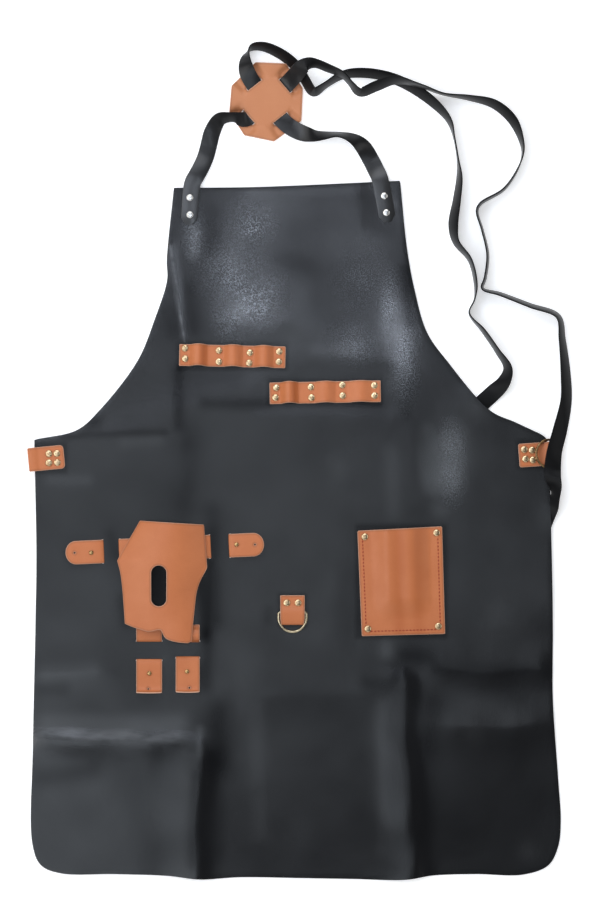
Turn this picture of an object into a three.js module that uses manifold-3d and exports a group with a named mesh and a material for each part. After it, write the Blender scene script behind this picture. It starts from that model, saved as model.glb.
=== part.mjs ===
// A work apron of black faux leather, lying face up on a floor.
// Millimetres: +X runs to the right of the skirt, +Y from the hem to the neck, +Z up from the floor.
// The origin is on the floor under the middle of everything that lies there, straps included.

import * as THREE from 'three';
import { mergeVertices } from 'three/addons/utils/BufferGeometryUtils.js';
import Module from 'manifold-3d';

const wasm = await Module();
wasm.setup();

// Driving dimensions
const GAP = 0.3;
const PANEL = { thickness: 1.5, lift: 3.4, coarse: 42, fine: 15, reach: 20, hemFlat: 22, hemFall: 46 };
const TAN = { thickness: 1.8 };
const STRAP = { width: 19, thickness: 1.6, step: 14, tipWidth: 10 };
const RIVET = { radius: 4, height: 1.6, shank: 1.5, backRadius: 3.2, backHeight: 0.8, hole: 2.1, sides: 8 };
const STUD = { radius: 2.6, height: 1.5, shank: 1.2, backRadius: 3, backHeight: 0.8, hole: 1.8, sides: 8 };
const SLIT = { clearance: 0.5, endRoom: 1 };

const PANEL_TOP = PANEL.lift + PANEL.thickness;
const ON_PANEL = PANEL_TOP + GAP;
const HOLE_SIDES = 5;
const CUT_BELOW = -5;
const CUT_ABOVE = 60;
const MERGE = 1e-4;
const MITRE_LIMIT = 0.35;
const CURVE_STEPS = { panel: 2, corner: 3, oval: 4 };
const DOME = { shoulder: 0.72, shoulderHeight: 0.8 };

const COLOUR = {
  panel: { color: 0x2b2c2f, roughness: 0.45, metalness: 0 },
  strap: { color: 0x2a2a2b, roughness: 0.6, metalness: 0 },
  tan: { color: 0xc27b55, roughness: 0.55, metalness: 0 },
  brass: { color: 0xcfb08a, roughness: 0.3, metalness: 1 },
};

// The panel's cut edge, in runs from the bib's left corner clockwise.
const OUTLINE = {
  bibLeft: { x: -143, y: 310 },
  bibSag: { x: -10, y: 310.5 },
  bibRight: { x: 113.5, y: 318 },
  armholeRight: [
    { x: 121.5, y: 240 }, { x: 130, y: 194 }, { x: 144, y: 146 }, { x: 168, y: 112 }, { x: 216, y: 57 },
  ],
  shoulderRight: { x: 272, y: 31, cornerX: 281, cornerY: 27, endX: 281.5, endY: 16 },
  sideRight: [{ x: 285.5, y: -100 }, { x: 287, y: -190 }, { x: 287, y: -270 }, { x: 296, y: -410 }],
  cornerRight: { endX: 254, endY: -469.5, cornerX: 297, cornerY: -468 },
  hem: [
    { x: 152, y: -470.5 }, { x: 118, y: -475.5 }, { x: 2, y: -473.5 }, { x: -68, y: -472.5 },
    { x: -113, y: -475 }, { x: -150, y: -471 }, { x: -272, y: -468 },
  ],
  cornerLeft: { endX: -303.5, endY: -436, cornerX: -303.5, cornerY: -468 },
  sideLeft: [{ x: -303, y: -320 }, { x: -300, y: -180 }, { x: -299, y: -110 }, { x: -301.5, y: 24 }],
  armholeLeft: [
    { x: -253, y: 35 }, { x: -227, y: 58 }, { x: -184, y: 114 }, { x: -165, y: 160 }, { x: -150.5, y: 206 },
    { x: -151, y: 228 },
  ],
};
const SKIRT = { left: -303, right: 290, hem: -474, fallStart: -150, fallEnd: -235 };
const SHEET = { left: -309, right: 305, bottom: -484, top: 322 };
const CREASED = { x: [-142, -115, 118], y: [63, 28, -60, -236, -272, -313, -460] };

// Set-in creases from the folded apron: a ridge from one end to the other, with its half width and height.
const FOLDS = [
  { x1: -149, y1: 240, x2: -137, y2: 165, width: 13, height: 2.2 },
  { x1: -139, y1: 74, x2: -139, y2: -40, width: 15, height: 2.4 },
  { x1: -117, y1: -320, x2: -113, y2: -490, width: 15, height: 6 },
  { x1: 130, y1: 40, x2: 132, y2: -50, width: 18, height: 2 },
  { x1: 111, y1: -244, x2: 126, y2: -490, width: 16, height: 5.5 },
  { x1: -128, y1: 63, x2: -60, y2: 62, width: 14, height: 1.6 },
  { x1: -246, y1: 22, x2: -155, y2: 36, width: 14, height: 1.6 },
  { x1: -300, y1: -236, x2: -215, y2: -237, width: 14, height: 2 },
  { x1: -303, y1: -312, x2: -128, y2: -315, width: 20, height: 4.5 },
  { x1: 152, y1: -277, x2: 288, y2: -275, width: 18, height: 3.2 },
  { x1: -78, y1: -266, x2: 92, y2: -262, width: 22, height: 2 },
  { x1: 290, y1: -48, x2: 290, y2: -78, width: 16, height: 3.4 },
  { x1: 192, y1: 84, x2: 216, y2: 56, width: 16, height: 3 },
];

// Strap routes, from the bib end: plan position, roll about the run (0 flat, 90 on edge),
// and the height of the strap's lowest edge above the floor.
const LEFT_ROUTE = [
  { x: -126, y: 268, roll: 0, lift: ON_PANEL },
  { x: -125.6, y: 274, roll: 0, lift: ON_PANEL },
  { x: -122, y: 315, roll: 0, lift: ON_PANEL },
  { x: -116, y: 326, roll: 0, lift: 1.4 },
  { x: -109, y: 340, roll: 0, lift: 0 },
  { x: -104, y: 357, roll: 0, lift: 0 },
  { x: -99.5, y: 374, roll: 15, lift: 0 },
  { x: -91, y: 388, roll: 42, lift: 0 },
  { x: -78.5, y: 390, roll: 62, lift: 0.4 },
  { x: -68, y: 385, roll: 20, lift: 2.6 },
  { x: -59, y: 390.1, roll: 0, lift: 2.5 },
  { x: -37.3, y: 408.6, roll: 0, lift: 2.1 },
  { x: -16.4, y: 426.5, roll: 0, lift: 2.5 },
  { x: -6, y: 438, roll: 8, lift: 12 },
  { x: 4, y: 450, roll: 34, lift: 20.5 },
  { x: 16, y: 453.5, roll: 60, lift: 15 },
  { x: 32, y: 447.5, roll: 65, lift: 15 },
  { x: 48, y: 440.5, roll: 72, lift: 19.5 },
  { x: 58, y: 430, roll: 75, lift: 18 },
  { x: 68, y: 421, roll: 62, lift: 15 },
  { x: 86, y: 428, roll: 56, lift: 16.5 },
  { x: 107, y: 435, roll: 62, lift: 18.5 },
  { x: 130, y: 430, roll: 80, lift: 18 },
  { x: 139, y: 427, roll: 82, lift: 17.2 },
  { x: 162, y: 418.5, roll: 86, lift: 3 },
  { x: 193, y: 413, roll: 75, lift: 0 },
  { x: 220.5, y: 405, roll: 62, lift: 0 },
  { x: 241, y: 387.5, roll: 60, lift: 0 },
  { x: 251, y: 365, roll: 76, lift: 0 },
  { x: 253, y: 350, roll: 88, lift: 0 },
  { x: 247, y: 331, roll: 90, lift: 0 },
  { x: 231, y: 308, roll: 90, lift: 0 },
  { x: 205, y: 292, roll: 90, lift: 0 },
  { x: 201, y: 284, roll: 90, lift: 0 },
  { x: 207, y: 262, roll: 90, lift: 0 },
  { x: 213, y: 234, roll: 90, lift: 0 },
  { x: 210, y: 207, roll: 90, lift: 0 },
  { x: 207, y: 196, roll: 90, lift: 0 },
  { x: 227, y: 189.5, roll: 90, lift: 0 },
  { x: 261, y: 176.5, roll: 92, lift: 0 },
  { x: 293, y: 164, roll: 96, lift: 0 },
  { x: 297.5, y: 138, roll: 114, lift: 0 },
  { x: 301.5, y: 98, roll: 126, lift: 0 },
  { x: 302, y: 69, roll: 132, lift: 1 },
  { x: 295, y: 35, roll: 150, lift: 4.5 },
  { x: 290.5, y: 7, roll: 158, lift: 7.2 },
  { x: 291, y: -20, roll: 180, lift: 7.8 },
  { x: 293, y: -40, roll: 222, lift: 0.6 },
  { x: 290.5, y: -56, roll: 218, lift: 0 },
  { x: 283, y: -76, roll: 186, lift: 0 },
  { x: 270, y: -100, roll: 180, lift: 0 },
  { x: 256, y: -150, roll: 180, lift: 0 },
];
const RIGHT_ROUTE = [
  { x: 100, y: 271, roll: 0, lift: ON_PANEL },
  { x: 99, y: 277, roll: 0, lift: ON_PANEL },
  { x: 90.5, y: 321, roll: 0, lift: ON_PANEL },
  { x: 86, y: 331, roll: 0, lift: 1.4 },
  { x: 80.5, y: 342, roll: 0, lift: 0 },
  { x: 71.5, y: 356.5, roll: 18, lift: 0 },
  { x: 59, y: 366, roll: 52, lift: 0 },
  { x: 43, y: 370.5, roll: 72, lift: 0 },
  { x: 29.5, y: 369.5, roll: 62, lift: 0 },
  { x: 16, y: 369, roll: 45, lift: 1 },
  { x: 2, y: 372.5, roll: 12, lift: 2.7 },
  { x: -11.5, y: 379.5, roll: 0, lift: 2.7 },
  { x: -21.7, y: 388.6, roll: 0, lift: 2.5 },
  { x: -29, y: 398, roll: 0, lift: 0.2 },
  { x: -37.3, y: 408.6, roll: 0, lift: 0 },
  { x: -45, y: 418.5, roll: 0, lift: 0.2 },
  { x: -52.2, y: 427.7, roll: 0, lift: 2.5 },
  { x: -60, y: 442, roll: -16, lift: 2.8 },
  { x: -62.5, y: 457, roll: -58, lift: 1.4 },
  { x: -56, y: 468, roll: -92, lift: 0 },
  { x: -43, y: 470.5, roll: -118, lift: 0 },
  { x: -19.5, y: 460.5, roll: -125, lift: 0 },
  { x: -1.8, y: 445, roll: -125, lift: 0 },
  { x: 6, y: 432.2, roll: -122, lift: 0 },
  { x: 15.5, y: 419, roll: -120, lift: 0 },
  { x: 28, y: 426, roll: -108, lift: 0 },
  { x: 47, y: 437.5, roll: -114, lift: 0 },
  { x: 64, y: 440.5, roll: -120, lift: 0 },
  { x: 92, y: 438, roll: -122, lift: 0 },
  { x: 119, y: 428.5, roll: -124, lift: 0 },
  { x: 150, y: 408, roll: -121, lift: 0 },
  { x: 169, y: 387, roll: -106, lift: 0 },
  { x: 175, y: 367, roll: -92, lift: 0 },
  { x: 179.5, y: 340, roll: -94, lift: 0 },
  { x: 181, y: 322, roll: -107, lift: 0 },
  { x: 178, y: 296, roll: -115, lift: 0 },
  { x: 174, y: 268, roll: -122, lift: 0 },
  { x: 177, y: 249, roll: -110, lift: 0 },
  { x: 193, y: 228, roll: -101, lift: 0 },
  { x: 199.5, y: 200, roll: -98, lift: 0 },
  { x: 198, y: 183, roll: -90, lift: 0 },
  { x: 192, y: 168, roll: -90, lift: 0 },
  { x: 206.5, y: 149, roll: -101, lift: 0 },
  { x: 221.5, y: 126, roll: -104, lift: 0 },
  { x: 233, y: 105, roll: -118, lift: 0 },
  { x: 228, y: 90, roll: -142, lift: 0 },
  { x: 215, y: 78, roll: -174, lift: 0 },
  { x: 202, y: 65, roll: -180, lift: 0 },
  { x: 187, y: 44, roll: -180, lift: 0 },
  { x: 179, y: 8, roll: -180, lift: 0 },
  { x: 184, y: -50, roll: -180, lift: 0 },
  { x: 202, y: -140, roll: -180, lift: 0 },
];

// The cross patch: its corners, and its slots as the turn of a strap's run and the way out from the middle.
const PATCH = {
  x: -37.3, y: 408.6, turn: 39.2, reach: 48,
  rise: 4.6, flapDrop: 4.3, flapFlat: 12.8, slotLength: 20.6, slotWidth: 3.6,
};
const PATCH_CORNERS = [
  { x: -50.5, y: 452.5 }, { x: -16, y: 451 }, { x: 3, y: 423.5 }, { x: 1.5, y: 386.5 },
  { x: -29.5, y: 363 }, { x: -63, y: 370 }, { x: -80, y: 396 }, { x: -77.5, y: 426 },
];
const PATCH_SLOTS = [
  { turn: 40.5, out: 27.5 },
  { turn: 128, out: 24.2 },
  { turn: 220.5, out: 28.5 },
  { turn: 308, out: 25.4 },
];

// Tool strips: middle, turn, size, and the loops as stretches along the strip with their height.
const TOOL_STRIPS = [
  {
    name: 'tool_strip_upper', x: -76.8, y: 119, turn: -1.3, length: 120, width: 24,
    loops: [
      { from: -48, to: -21, height: 8 }, { from: -9, to: 13, height: 7 }, { from: 25, to: 47, height: 7 },
    ],
  },
  {
    name: 'tool_strip_lower', x: 28.6, y: 78, turn: 1.1, length: 125.5, width: 23.8,
    loops: [
      { from: -50, to: -28, height: 9 }, { from: -10, to: 14, height: 7 }, { from: 25, to: 50, height: 6 },
    ],
  },
];
const LOOP_STEPS = 6;

// Waist tabs: inner end and fold end along the tab, plan middle of the inner end, turn.
const WAIST_TAB = { width: 26.2, loopRise: 2, loopRun: 9, foldSteps: 4 };
const WAIST_TABS = [
  { name: 'waist_tab_left', x: -268, y: 5, turn: 185.5, length: 40.8, corner: 4 },
  { name: 'waist_tab_right', x: 248.8, y: 6, turn: 4, length: 40.6, corner: 1.5 },
];

// Rings: a straight bar and a bow, given by the wire's middle line, with corners bent to a part of the wire.
const RING_STEPS = 4;
const RING_SIDES = 6;
const RING_CORNER = 0.8;
const D_RING = { wire: 3, width: 31.4, depth: 22.5, x: -8.5, y: -171.5, tilt: 5.3 };
const WAIST_RING = { wire: 2.8, width: 31.6, depth: 18.8, fromFold: 3.75, height: 5.3, tilt: 21 };

// The ring tab: top edge, length, half widths, and the fold's section as run down from the top and height.
const RING_TAB = { x: -8.5, top: -152.8, length: 33.6, half: 13.5, endHalf: 10.4, straight: 21, overrun: 1 };
const RING_TAB_SECTION = [
  { run: 0, height: 1.2 }, { run: 29.6, height: 1.2 }, { run: 31.9, height: 1.9 },
  { run: 32.7, height: 3.2 }, { run: 31.4, height: 4.8 }, { run: 26, height: 6.2 },
  { run: 18.7, height: 6.7 }, { run: 15, height: 5.4 }, { run: 12.6, height: 3.4 }, { run: 0, height: 3.3 },
];

// The patch pocket: corners, flat seam, and how far the front stands off at the bottom and at the mouth.
const POCKET = { seam: 0.13, fade: 0.36, low: 5, mouth: 10, ridge: 0.59, ripple: 0.25, rippleDepth: 0.3 };
const POCKET_CORNERS = {
  topLeft: { x: 65.5, y: -79.5 }, topRight: { x: 161, y: -74.5 },
  bottomRight: { x: 164.5, y: -196 }, bottomLeft: { x: 70.5, y: -198.5 },
};
const POCKET_COLUMNS = 12;
const POCKET_ROWS = 5;

// The holster front: side edges at each section, its outward bow, and its oval slot.
const HOLSTER_SECTIONS = [
  { y: -68, left: -181.5, right: -109.3, bow: 15, rightLift: 0 },
  { y: -113, left: -207.2, right: -105.8, bow: 15, rightLift: 0 },
  { y: -147, left: -201.2, right: -117.3, bow: 14, rightLift: 1 },
  { y: -185, left: -198.5, right: -121.5, bow: 11, rightLift: 7 },
  { y: -206, left: -198, right: -123, bow: 10, rightLift: 8 },
];
const HOLSTER_FOOT = [
  { x: -152.2, y: -200.6 }, { x: -157, y: -191.5 }, { x: -172, y: -193 },
];
const HOLSTER_SLOT = { x: -160, y: -141.5, width: 18, length: 47 };
const HOLSTER_FIELD = { left: -208, right: -105, bottom: -207, top: -67, columns: 9, rows: 7 };
const HOLSTER_LIFT_FROM = 0.45;

// Woven holster straps, as a run through the panel: over and under are heights of the strap's middle.
const OVER = ON_PANEL + TAN.thickness / 2;
const UNDER = PANEL.lift - GAP - TAN.thickness / 2;
const BELT = {
  x: -153, y: -99.5, turn: 2.6, width: 28, slits: [-68.5, -51.5, 50.5, 71],
  section: [
    { run: -113, height: OVER }, { run: -68.5, height: OVER }, { run: -68.5, height: UNDER },
    { run: -51.5, height: UNDER }, { run: -51.5, height: OVER }, { run: 50.5, height: OVER },
    { run: 50.5, height: UNDER }, { run: 71, height: UNDER }, { run: 71, height: OVER },
    { run: 112, height: OVER },
  ],
  holes: [{ run: -103, side: 0 }, { run: 102, side: 0 }],
};
const LOWER_STRAPS = [
  {
    name: 'holster_strap_left', x: -171.2, y: -226, width: 28.6, slits: [0, 20.5],
    section: [
      { run: -38, height: OVER + 3 }, { run: -33, height: OVER + 1 }, { run: -28, height: OVER },
      { run: 0, height: OVER }, { run: 0, height: UNDER }, { run: 20.5, height: UNDER },
      { run: 20.5, height: OVER }, { run: 30, height: 8.2 }, { run: 50, height: 11 },
    ],
    holes: [{ run: -31, side: 1 }],
  },
  {
    name: 'holster_strap_right', x: -127.5, y: -223, width: 26.6, slits: [0, 19],
    section: [
      { run: -40, height: OVER + 2 }, { run: -35, height: OVER + 0.4 }, { run: -30, height: OVER },
      { run: 0, height: OVER }, { run: 0, height: UNDER }, { run: 19, height: UNDER },
      { run: 19, height: 9 }, { run: 21.5, height: 12.2 }, { run: 26, height: 13 }, { run: 31, height: 11 },
      { run: 34, height: 7.2 }, { run: 38, height: OVER }, { run: 52, height: OVER },
    ],
    holes: [{ run: -33, side: -2 }],
  },
];
const TAB_HOLE = 1.4;
const TAB_ROUND = 0.6;

// Rivets: the set's name, the leather under the front cap and under the back cap, and where each one sits.
const ONE_TAN = GAP + TAN.thickness;
const RIVET_SETS = [
  {
    set: 'bib_left', over: GAP + STRAP.thickness, under: 0,
    at: [{ x: -125, y: 299 }, { x: -125, y: 279.5 }],
  },
  {
    set: 'bib_right', over: GAP + STRAP.thickness, under: 0,
    at: [{ x: 95.6, y: 301 }, { x: 98, y: 282 }],
  },
  {
    set: 'upper_strip', over: ONE_TAN, under: 0,
    at: [
      { x: -130.5, y: 128 }, { x: -130.2, y: 116.2 }, { x: -92, y: 125.4 }, { x: -92.1, y: 112.7 },
      { x: -56.8, y: 123 }, { x: -57.7, y: 111.3 }, { x: -23.7, y: 124.3 }, { x: -24.1, y: 112.7 },
    ],
  },
  {
    set: 'lower_strip', over: ONE_TAN, under: 0,
    at: [
      { x: -26.8, y: 83.2 }, { x: -27.7, y: 72 }, { x: 12.4, y: 84 }, { x: 13.1, y: 72 },
      { x: 48, y: 86.3 }, { x: 48.4, y: 74.3 }, { x: 84.3, y: 85.9 }, { x: 84.6, y: 74.3 },
    ],
  },
  {
    set: 'waist_left', over: ONE_TAN, under: ONE_TAN,
    at: [{ x: -285, y: 8.3 }, { x: -276, y: 8.5 }, { x: -285, y: -2 }, { x: -275.5, y: -1.7 }],
  },
  {
    set: 'waist_right', over: ONE_TAN, under: ONE_TAN,
    at: [{ x: 254.5, y: 13 }, { x: 263.5, y: 12.3 }, { x: 256, y: 2.3 }, { x: 264.3, y: 1.2 }],
  },
  {
    set: 'ring_tab', over: 2 * ONE_TAN, under: 0,
    at: [{ x: -15, y: -161 }, { x: -2.2, y: -161 }],
  },
  {
    set: 'pocket', over: ONE_TAN, under: 0, rise: pocketRise,
    at: [{ x: 73.6, y: -86 }, { x: 155, y: -81.5 }, { x: 77, y: -190.5 }, { x: 157, y: -187.5 }],
  },
];
const STUD_SETS = [
  { name: 'stud_left', x: -237, y: -104 }, { name: 'stud_right', x: -72, y: -94.8 },
  { name: 'stud_lower_left', x: -171, y: -241 }, { name: 'stud_lower_right', x: -128.2, y: -239 },
];

// Solids and cuts
function solid(geometry) {
  const bare = geometry.clone();
  bare.deleteAttribute('normal');
  bare.deleteAttribute('uv');
  const merged = mergeVertices(bare, MERGE);
  return new wasm.Manifold(new wasm.Mesh({
    numProp: 3,
    vertProperties: new Float32Array(merged.attributes.position.array),
    triVerts: new Uint32Array(merged.index.array),
  }));
}

function geometryOf(body) {
  const mesh = body.getMesh();
  const geometry = new THREE.BufferGeometry();
  geometry.setAttribute('position', new THREE.BufferAttribute(new Float32Array(mesh.vertProperties), 3));
  geometry.setIndex(new THREE.BufferAttribute(new Uint32Array(mesh.triVerts), 1));
  geometry.computeVertexNormals();
  return geometry;
}

function prism(shape, curveSegments = 1) {
  const depth = CUT_ABOVE - CUT_BELOW;
  const geometry = new THREE.ExtrudeGeometry(shape, { depth, bevelEnabled: false, curveSegments });
  return solid(geometry.translate(0, 0, CUT_BELOW));
}

function hole({ x, y }, radius) {
  const drill = new THREE.CylinderGeometry(radius, radius, CUT_ABOVE - CUT_BELOW, HOLE_SIDES);
  drill.rotateX(Math.PI / 2);
  return solid(drill.translate(x, y, (CUT_ABOVE + CUT_BELOW) / 2));
}

function cutAll(body, cutters) {
  return cutters.reduce((rest, cutter) => rest.subtract(cutter), body);
}

// A wall over a grid in plan: its underside is a function of x and y, its thickness is constant.
function wallSlab(xs, ys, underside, thickness, place = (x, y) => ({ x, y })) {
  const positions = [];
  const index = [];
  for (const up of [0, thickness]) {
    for (const y of ys) {
      for (const x of xs) {
        const at = place(x, y);
        positions.push(at.x, at.y, underside(at.x, at.y) + up);
      }
    }
  }
  const columns = xs.length;
  const rows = ys.length;
  const id = (i, j, top) => top * columns * rows + j * columns + i;
  const quad = (a, b, c, d) => index.push(a, b, c, a, c, d);
  for (let j = 0; j + 1 < rows; j += 1) {
    for (let i = 0; i + 1 < columns; i += 1) {
      quad(id(i, j, 1), id(i + 1, j, 1), id(i + 1, j + 1, 1), id(i, j + 1, 1));
      quad(id(i, j + 1, 0), id(i + 1, j + 1, 0), id(i + 1, j, 0), id(i, j, 0));
    }
  }
  for (let i = 0; i + 1 < columns; i += 1) {
    quad(id(i, 0, 0), id(i + 1, 0, 0), id(i + 1, 0, 1), id(i, 0, 1));
    quad(id(i + 1, rows - 1, 0), id(i, rows - 1, 0), id(i, rows - 1, 1), id(i + 1, rows - 1, 1));
  }
  const edge = columns - 1;
  for (let j = 0; j + 1 < rows; j += 1) {
    quad(id(0, j + 1, 0), id(0, j, 0), id(0, j, 1), id(0, j + 1, 1));
    quad(id(edge, j, 0), id(edge, j + 1, 0), id(edge, j + 1, 1), id(edge, j, 1));
  }
  const geometry = new THREE.BufferGeometry();
  geometry.setAttribute('position', new THREE.Float32BufferAttribute(positions, 3));
  geometry.setIndex(index);
  return geometry;
}

// A leather strip with a folded section: the section's middle line is thickened and drawn across the width.
function foldedStrip(section, thickness, width) {
  const line = section.map(({ run, height }) => new THREE.Vector2(run, height));
  const side = (i) => {
    const before = line[Math.max(i - 1, 0)];
    const after = line[Math.min(i + 1, line.length - 1)];
    const into = (i > 0 ? line[i].clone().sub(before) : after.clone().sub(line[i])).normalize();
    const out = (i + 1 < line.length ? after.clone().sub(line[i]) : into).clone().normalize();
    const mid = into.clone().add(out).normalize();
    const reach = thickness / 2 / Math.max(mid.dot(into), MITRE_LIMIT);
    return new THREE.Vector2(-mid.y, mid.x).multiplyScalar(reach);
  };
  const left = line.map((point, i) => point.clone().add(side(i)));
  const right = line.map((point, i) => point.clone().sub(side(i)));
  const shape = new THREE.Shape([...left, ...right.reverse()]);
  const geometry = new THREE.ExtrudeGeometry(shape, { depth: width, bevelEnabled: false });
  geometry.translate(0, 0, -width / 2);
  return geometry.rotateX(Math.PI / 2);
}

function placed(geometry, x, y, turn, z = 0) {
  return geometry.rotateZ(THREE.MathUtils.degToRad(turn)).translate(x, y, z);
}

function planPoint({ x, y, turn = 0 }, run, side) {
  const angle = THREE.MathUtils.degToRad(turn);
  return {
    x: x + run * Math.cos(angle) - side * Math.sin(angle),
    y: y + run * Math.sin(angle) + side * Math.cos(angle),
  };
}

function steps(from, to, count) {
  return Array.from({ length: count + 1 }, (_, i) => from + ((to - from) * i) / count);
}

const vectors = (points) => points.map(({ x, y }) => new THREE.Vector2(x, y));
const ease = THREE.MathUtils.smoothstep;

// Panel
function foldHeight({ x1, y1, x2, y2, width, height }, x, y) {
  const length = Math.hypot(x2 - x1, y2 - y1);
  const along = ((x - x1) * (x2 - x1) + (y - y1) * (y2 - y1)) / length;
  const across = ((y - y1) * (x2 - x1) - (x - x1) * (y2 - y1)) / length;
  const ends = ease(along, -width, width) * ease(length - along, -width, width);
  return height * ends * Math.exp(-((across / width) ** 2));
}

function panelUnderside(x, y) {
  const fall = PANEL.hemFlat + PANEL.hemFall;
  const offHem = ease(y - SKIRT.hem, PANEL.hemFlat, fall);
  const offSide = ease(Math.min(x - SKIRT.left, SKIRT.right - x), PANEL.hemFlat, fall);
  const skirt = ease(-y, -SKIRT.fallStart, -SKIRT.fallEnd);
  const rest = PANEL.lift * offHem * (1 - skirt * (1 - offSide));
  return FOLDS.reduce((sum, fold) => sum + foldHeight(fold, x, y), rest);
}

function panelOutline() {
  const { bibLeft, bibSag, bibRight, shoulderRight: shoulder, cornerRight, cornerLeft } = OUTLINE;
  const shape = new THREE.Shape();
  shape.moveTo(bibLeft.x, bibLeft.y);
  shape.quadraticCurveTo(bibSag.x, bibSag.y, bibRight.x, bibRight.y);
  shape.splineThru(vectors(OUTLINE.armholeRight));
  shape.lineTo(shoulder.x, shoulder.y);
  shape.quadraticCurveTo(shoulder.cornerX, shoulder.cornerY, shoulder.endX, shoulder.endY);
  shape.splineThru(vectors(OUTLINE.sideRight));
  shape.quadraticCurveTo(cornerRight.cornerX, cornerRight.cornerY, cornerRight.endX, cornerRight.endY);
  shape.splineThru(vectors(OUTLINE.hem));
  shape.quadraticCurveTo(cornerLeft.cornerX, cornerLeft.cornerY, cornerLeft.endX, cornerLeft.endY);
  shape.splineThru(vectors(OUTLINE.sideLeft));
  shape.splineThru(vectors(OUTLINE.armholeLeft));
  shape.lineTo(bibLeft.x, bibLeft.y);
  return shape;
}

function slit(strap, run, lengthwise) {
  const across = TAN.thickness + 2 * SLIT.clearance;
  const along = strap.width + 2 * SLIT.endRoom;
  const blade = new THREE.BoxGeometry(across, along, CUT_ABOVE);
  const turn = (strap.turn ?? 0) + (lengthwise ? 90 : 0);
  const at = planPoint({ ...strap, turn }, run, 0);
  return solid(placed(blade, at.x, at.y, turn));
}

function panelStations(from, to, creases) {
  const stations = [from];
  for (let at = from; at < to - PANEL.fine; stations.push(at)) {
    const creased = creases.some((crease) => Math.abs(at + PANEL.fine - crease) < PANEL.reach);
    at = Math.min(to, at + (creased ? PANEL.fine : PANEL.coarse));
  }
  return stations;
}

function panelBody(rivetHoles) {
  const xs = panelStations(SHEET.left, SHEET.right, CREASED.x);
  const ys = panelStations(SHEET.bottom, SHEET.top, CREASED.y);
  const slab = wallSlab(xs, ys, panelUnderside, PANEL.thickness);
  const slits = [
    ...BELT.slits.map((run) => slit(BELT, run, false)),
    ...LOWER_STRAPS.flatMap((strap) => strap.slits.map((run) => slit(strap, run, true))),
  ];
  return cutAll(solid(slab).intersect(prism(panelOutline(), CURVE_STEPS.panel)), [...slits, ...rivetHoles]);
}

// Neck straps
function strapStations(route) {
  const plan = route.map(({ x, y }) => new THREE.Vector3(x, y, 0));
  const path = new THREE.CatmullRomCurve3(plan, false, 'centripetal');
  const last = route.length - 1;
  const stations = [];
  route.slice(0, last).forEach((row, i) => {
    const next = route[i + 1];
    const count = Math.max(1, Math.round(Math.hypot(next.x - row.x, next.y - row.y) / STRAP.step));
    for (let k = 0; k < count; k += 1) {
      stations.push({ t: (i + k / count) / last, row, next, part: k / count });
    }
  });
  stations.push({ t: 1, row: route[last], next: route[last], part: 0 });
  return stations.map(({ t, row, next, part }) => {
    const roll = THREE.MathUtils.degToRad(THREE.MathUtils.lerp(row.roll, next.roll, part));
    const stand = STRAP.width * Math.abs(Math.sin(roll)) + STRAP.thickness * Math.abs(Math.cos(roll));
    const middle = path.getPoint(t);
    middle.z = THREE.MathUtils.lerp(row.lift, next.lift, part) + stand / 2;
    return { middle, roll };
  });
}

function strapGeometry(route) {
  const stations = strapStations(route);
  const positions = [];
  const index = [];
  const up = new THREE.Vector3(0, 0, 1);
  const corners = [[-1, -1], [1, -1], [1, 1], [-1, 1]];
  stations.forEach(({ middle, roll }, i) => {
    const ahead = stations[Math.min(i + 1, stations.length - 1)].middle;
    const behind = stations[Math.max(i - 1, 0)].middle;
    const run = ahead.clone().sub(behind).normalize();
    const flat = up.clone().cross(run).normalize();
    const rise = run.clone().cross(flat);
    const wide = flat.clone().multiplyScalar(Math.cos(roll)).addScaledVector(rise, Math.sin(roll));
    const face = run.clone().cross(wide);
    const half = (i === 0 ? STRAP.tipWidth : STRAP.width) / 2;
    for (const [across, through] of corners) {
      const point = middle.clone().addScaledVector(wide, across * half);
      point.addScaledVector(face, (through * STRAP.thickness) / 2);
      positions.push(point.x, point.y, point.z);
    }
  });
  for (let i = 0; i + 1 < stations.length; i += 1) {
    for (let k = 0; k < 4; k += 1) {
      const [a, b] = [i * 4 + k, i * 4 + ((k + 1) % 4)];
      index.push(a, b, a + 4, b, b + 4, a + 4);
    }
  }
  const end = (stations.length - 1) * 4;
  index.push(0, 2, 1, 0, 3, 2, end, end + 1, end + 2, end, end + 2, end + 3);
  const geometry = new THREE.BufferGeometry();
  geometry.setAttribute('position', new THREE.Float32BufferAttribute(positions, 3));
  geometry.setIndex(index);
  return geometry;
}

// Cross patch
function patchUnderside(x, y) {
  const sink = PATCH_SLOTS.map(({ turn, out }) => {
    const angle = THREE.MathUtils.degToRad(turn);
    const along = (x - PATCH.x) * Math.cos(angle) + (y - PATCH.y) * Math.sin(angle);
    const across = Math.abs((y - PATCH.y) * Math.cos(angle) - (x - PATCH.x) * Math.sin(angle));
    const past = ease(along, out - PATCH.slotWidth / 2, out + PATCH.slotWidth / 2);
    return past * (1 - ease(across, PATCH.flapFlat, PATCH.slotLength));
  });
  return PATCH.rise - PATCH.flapDrop * Math.max(...sink);
}

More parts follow.
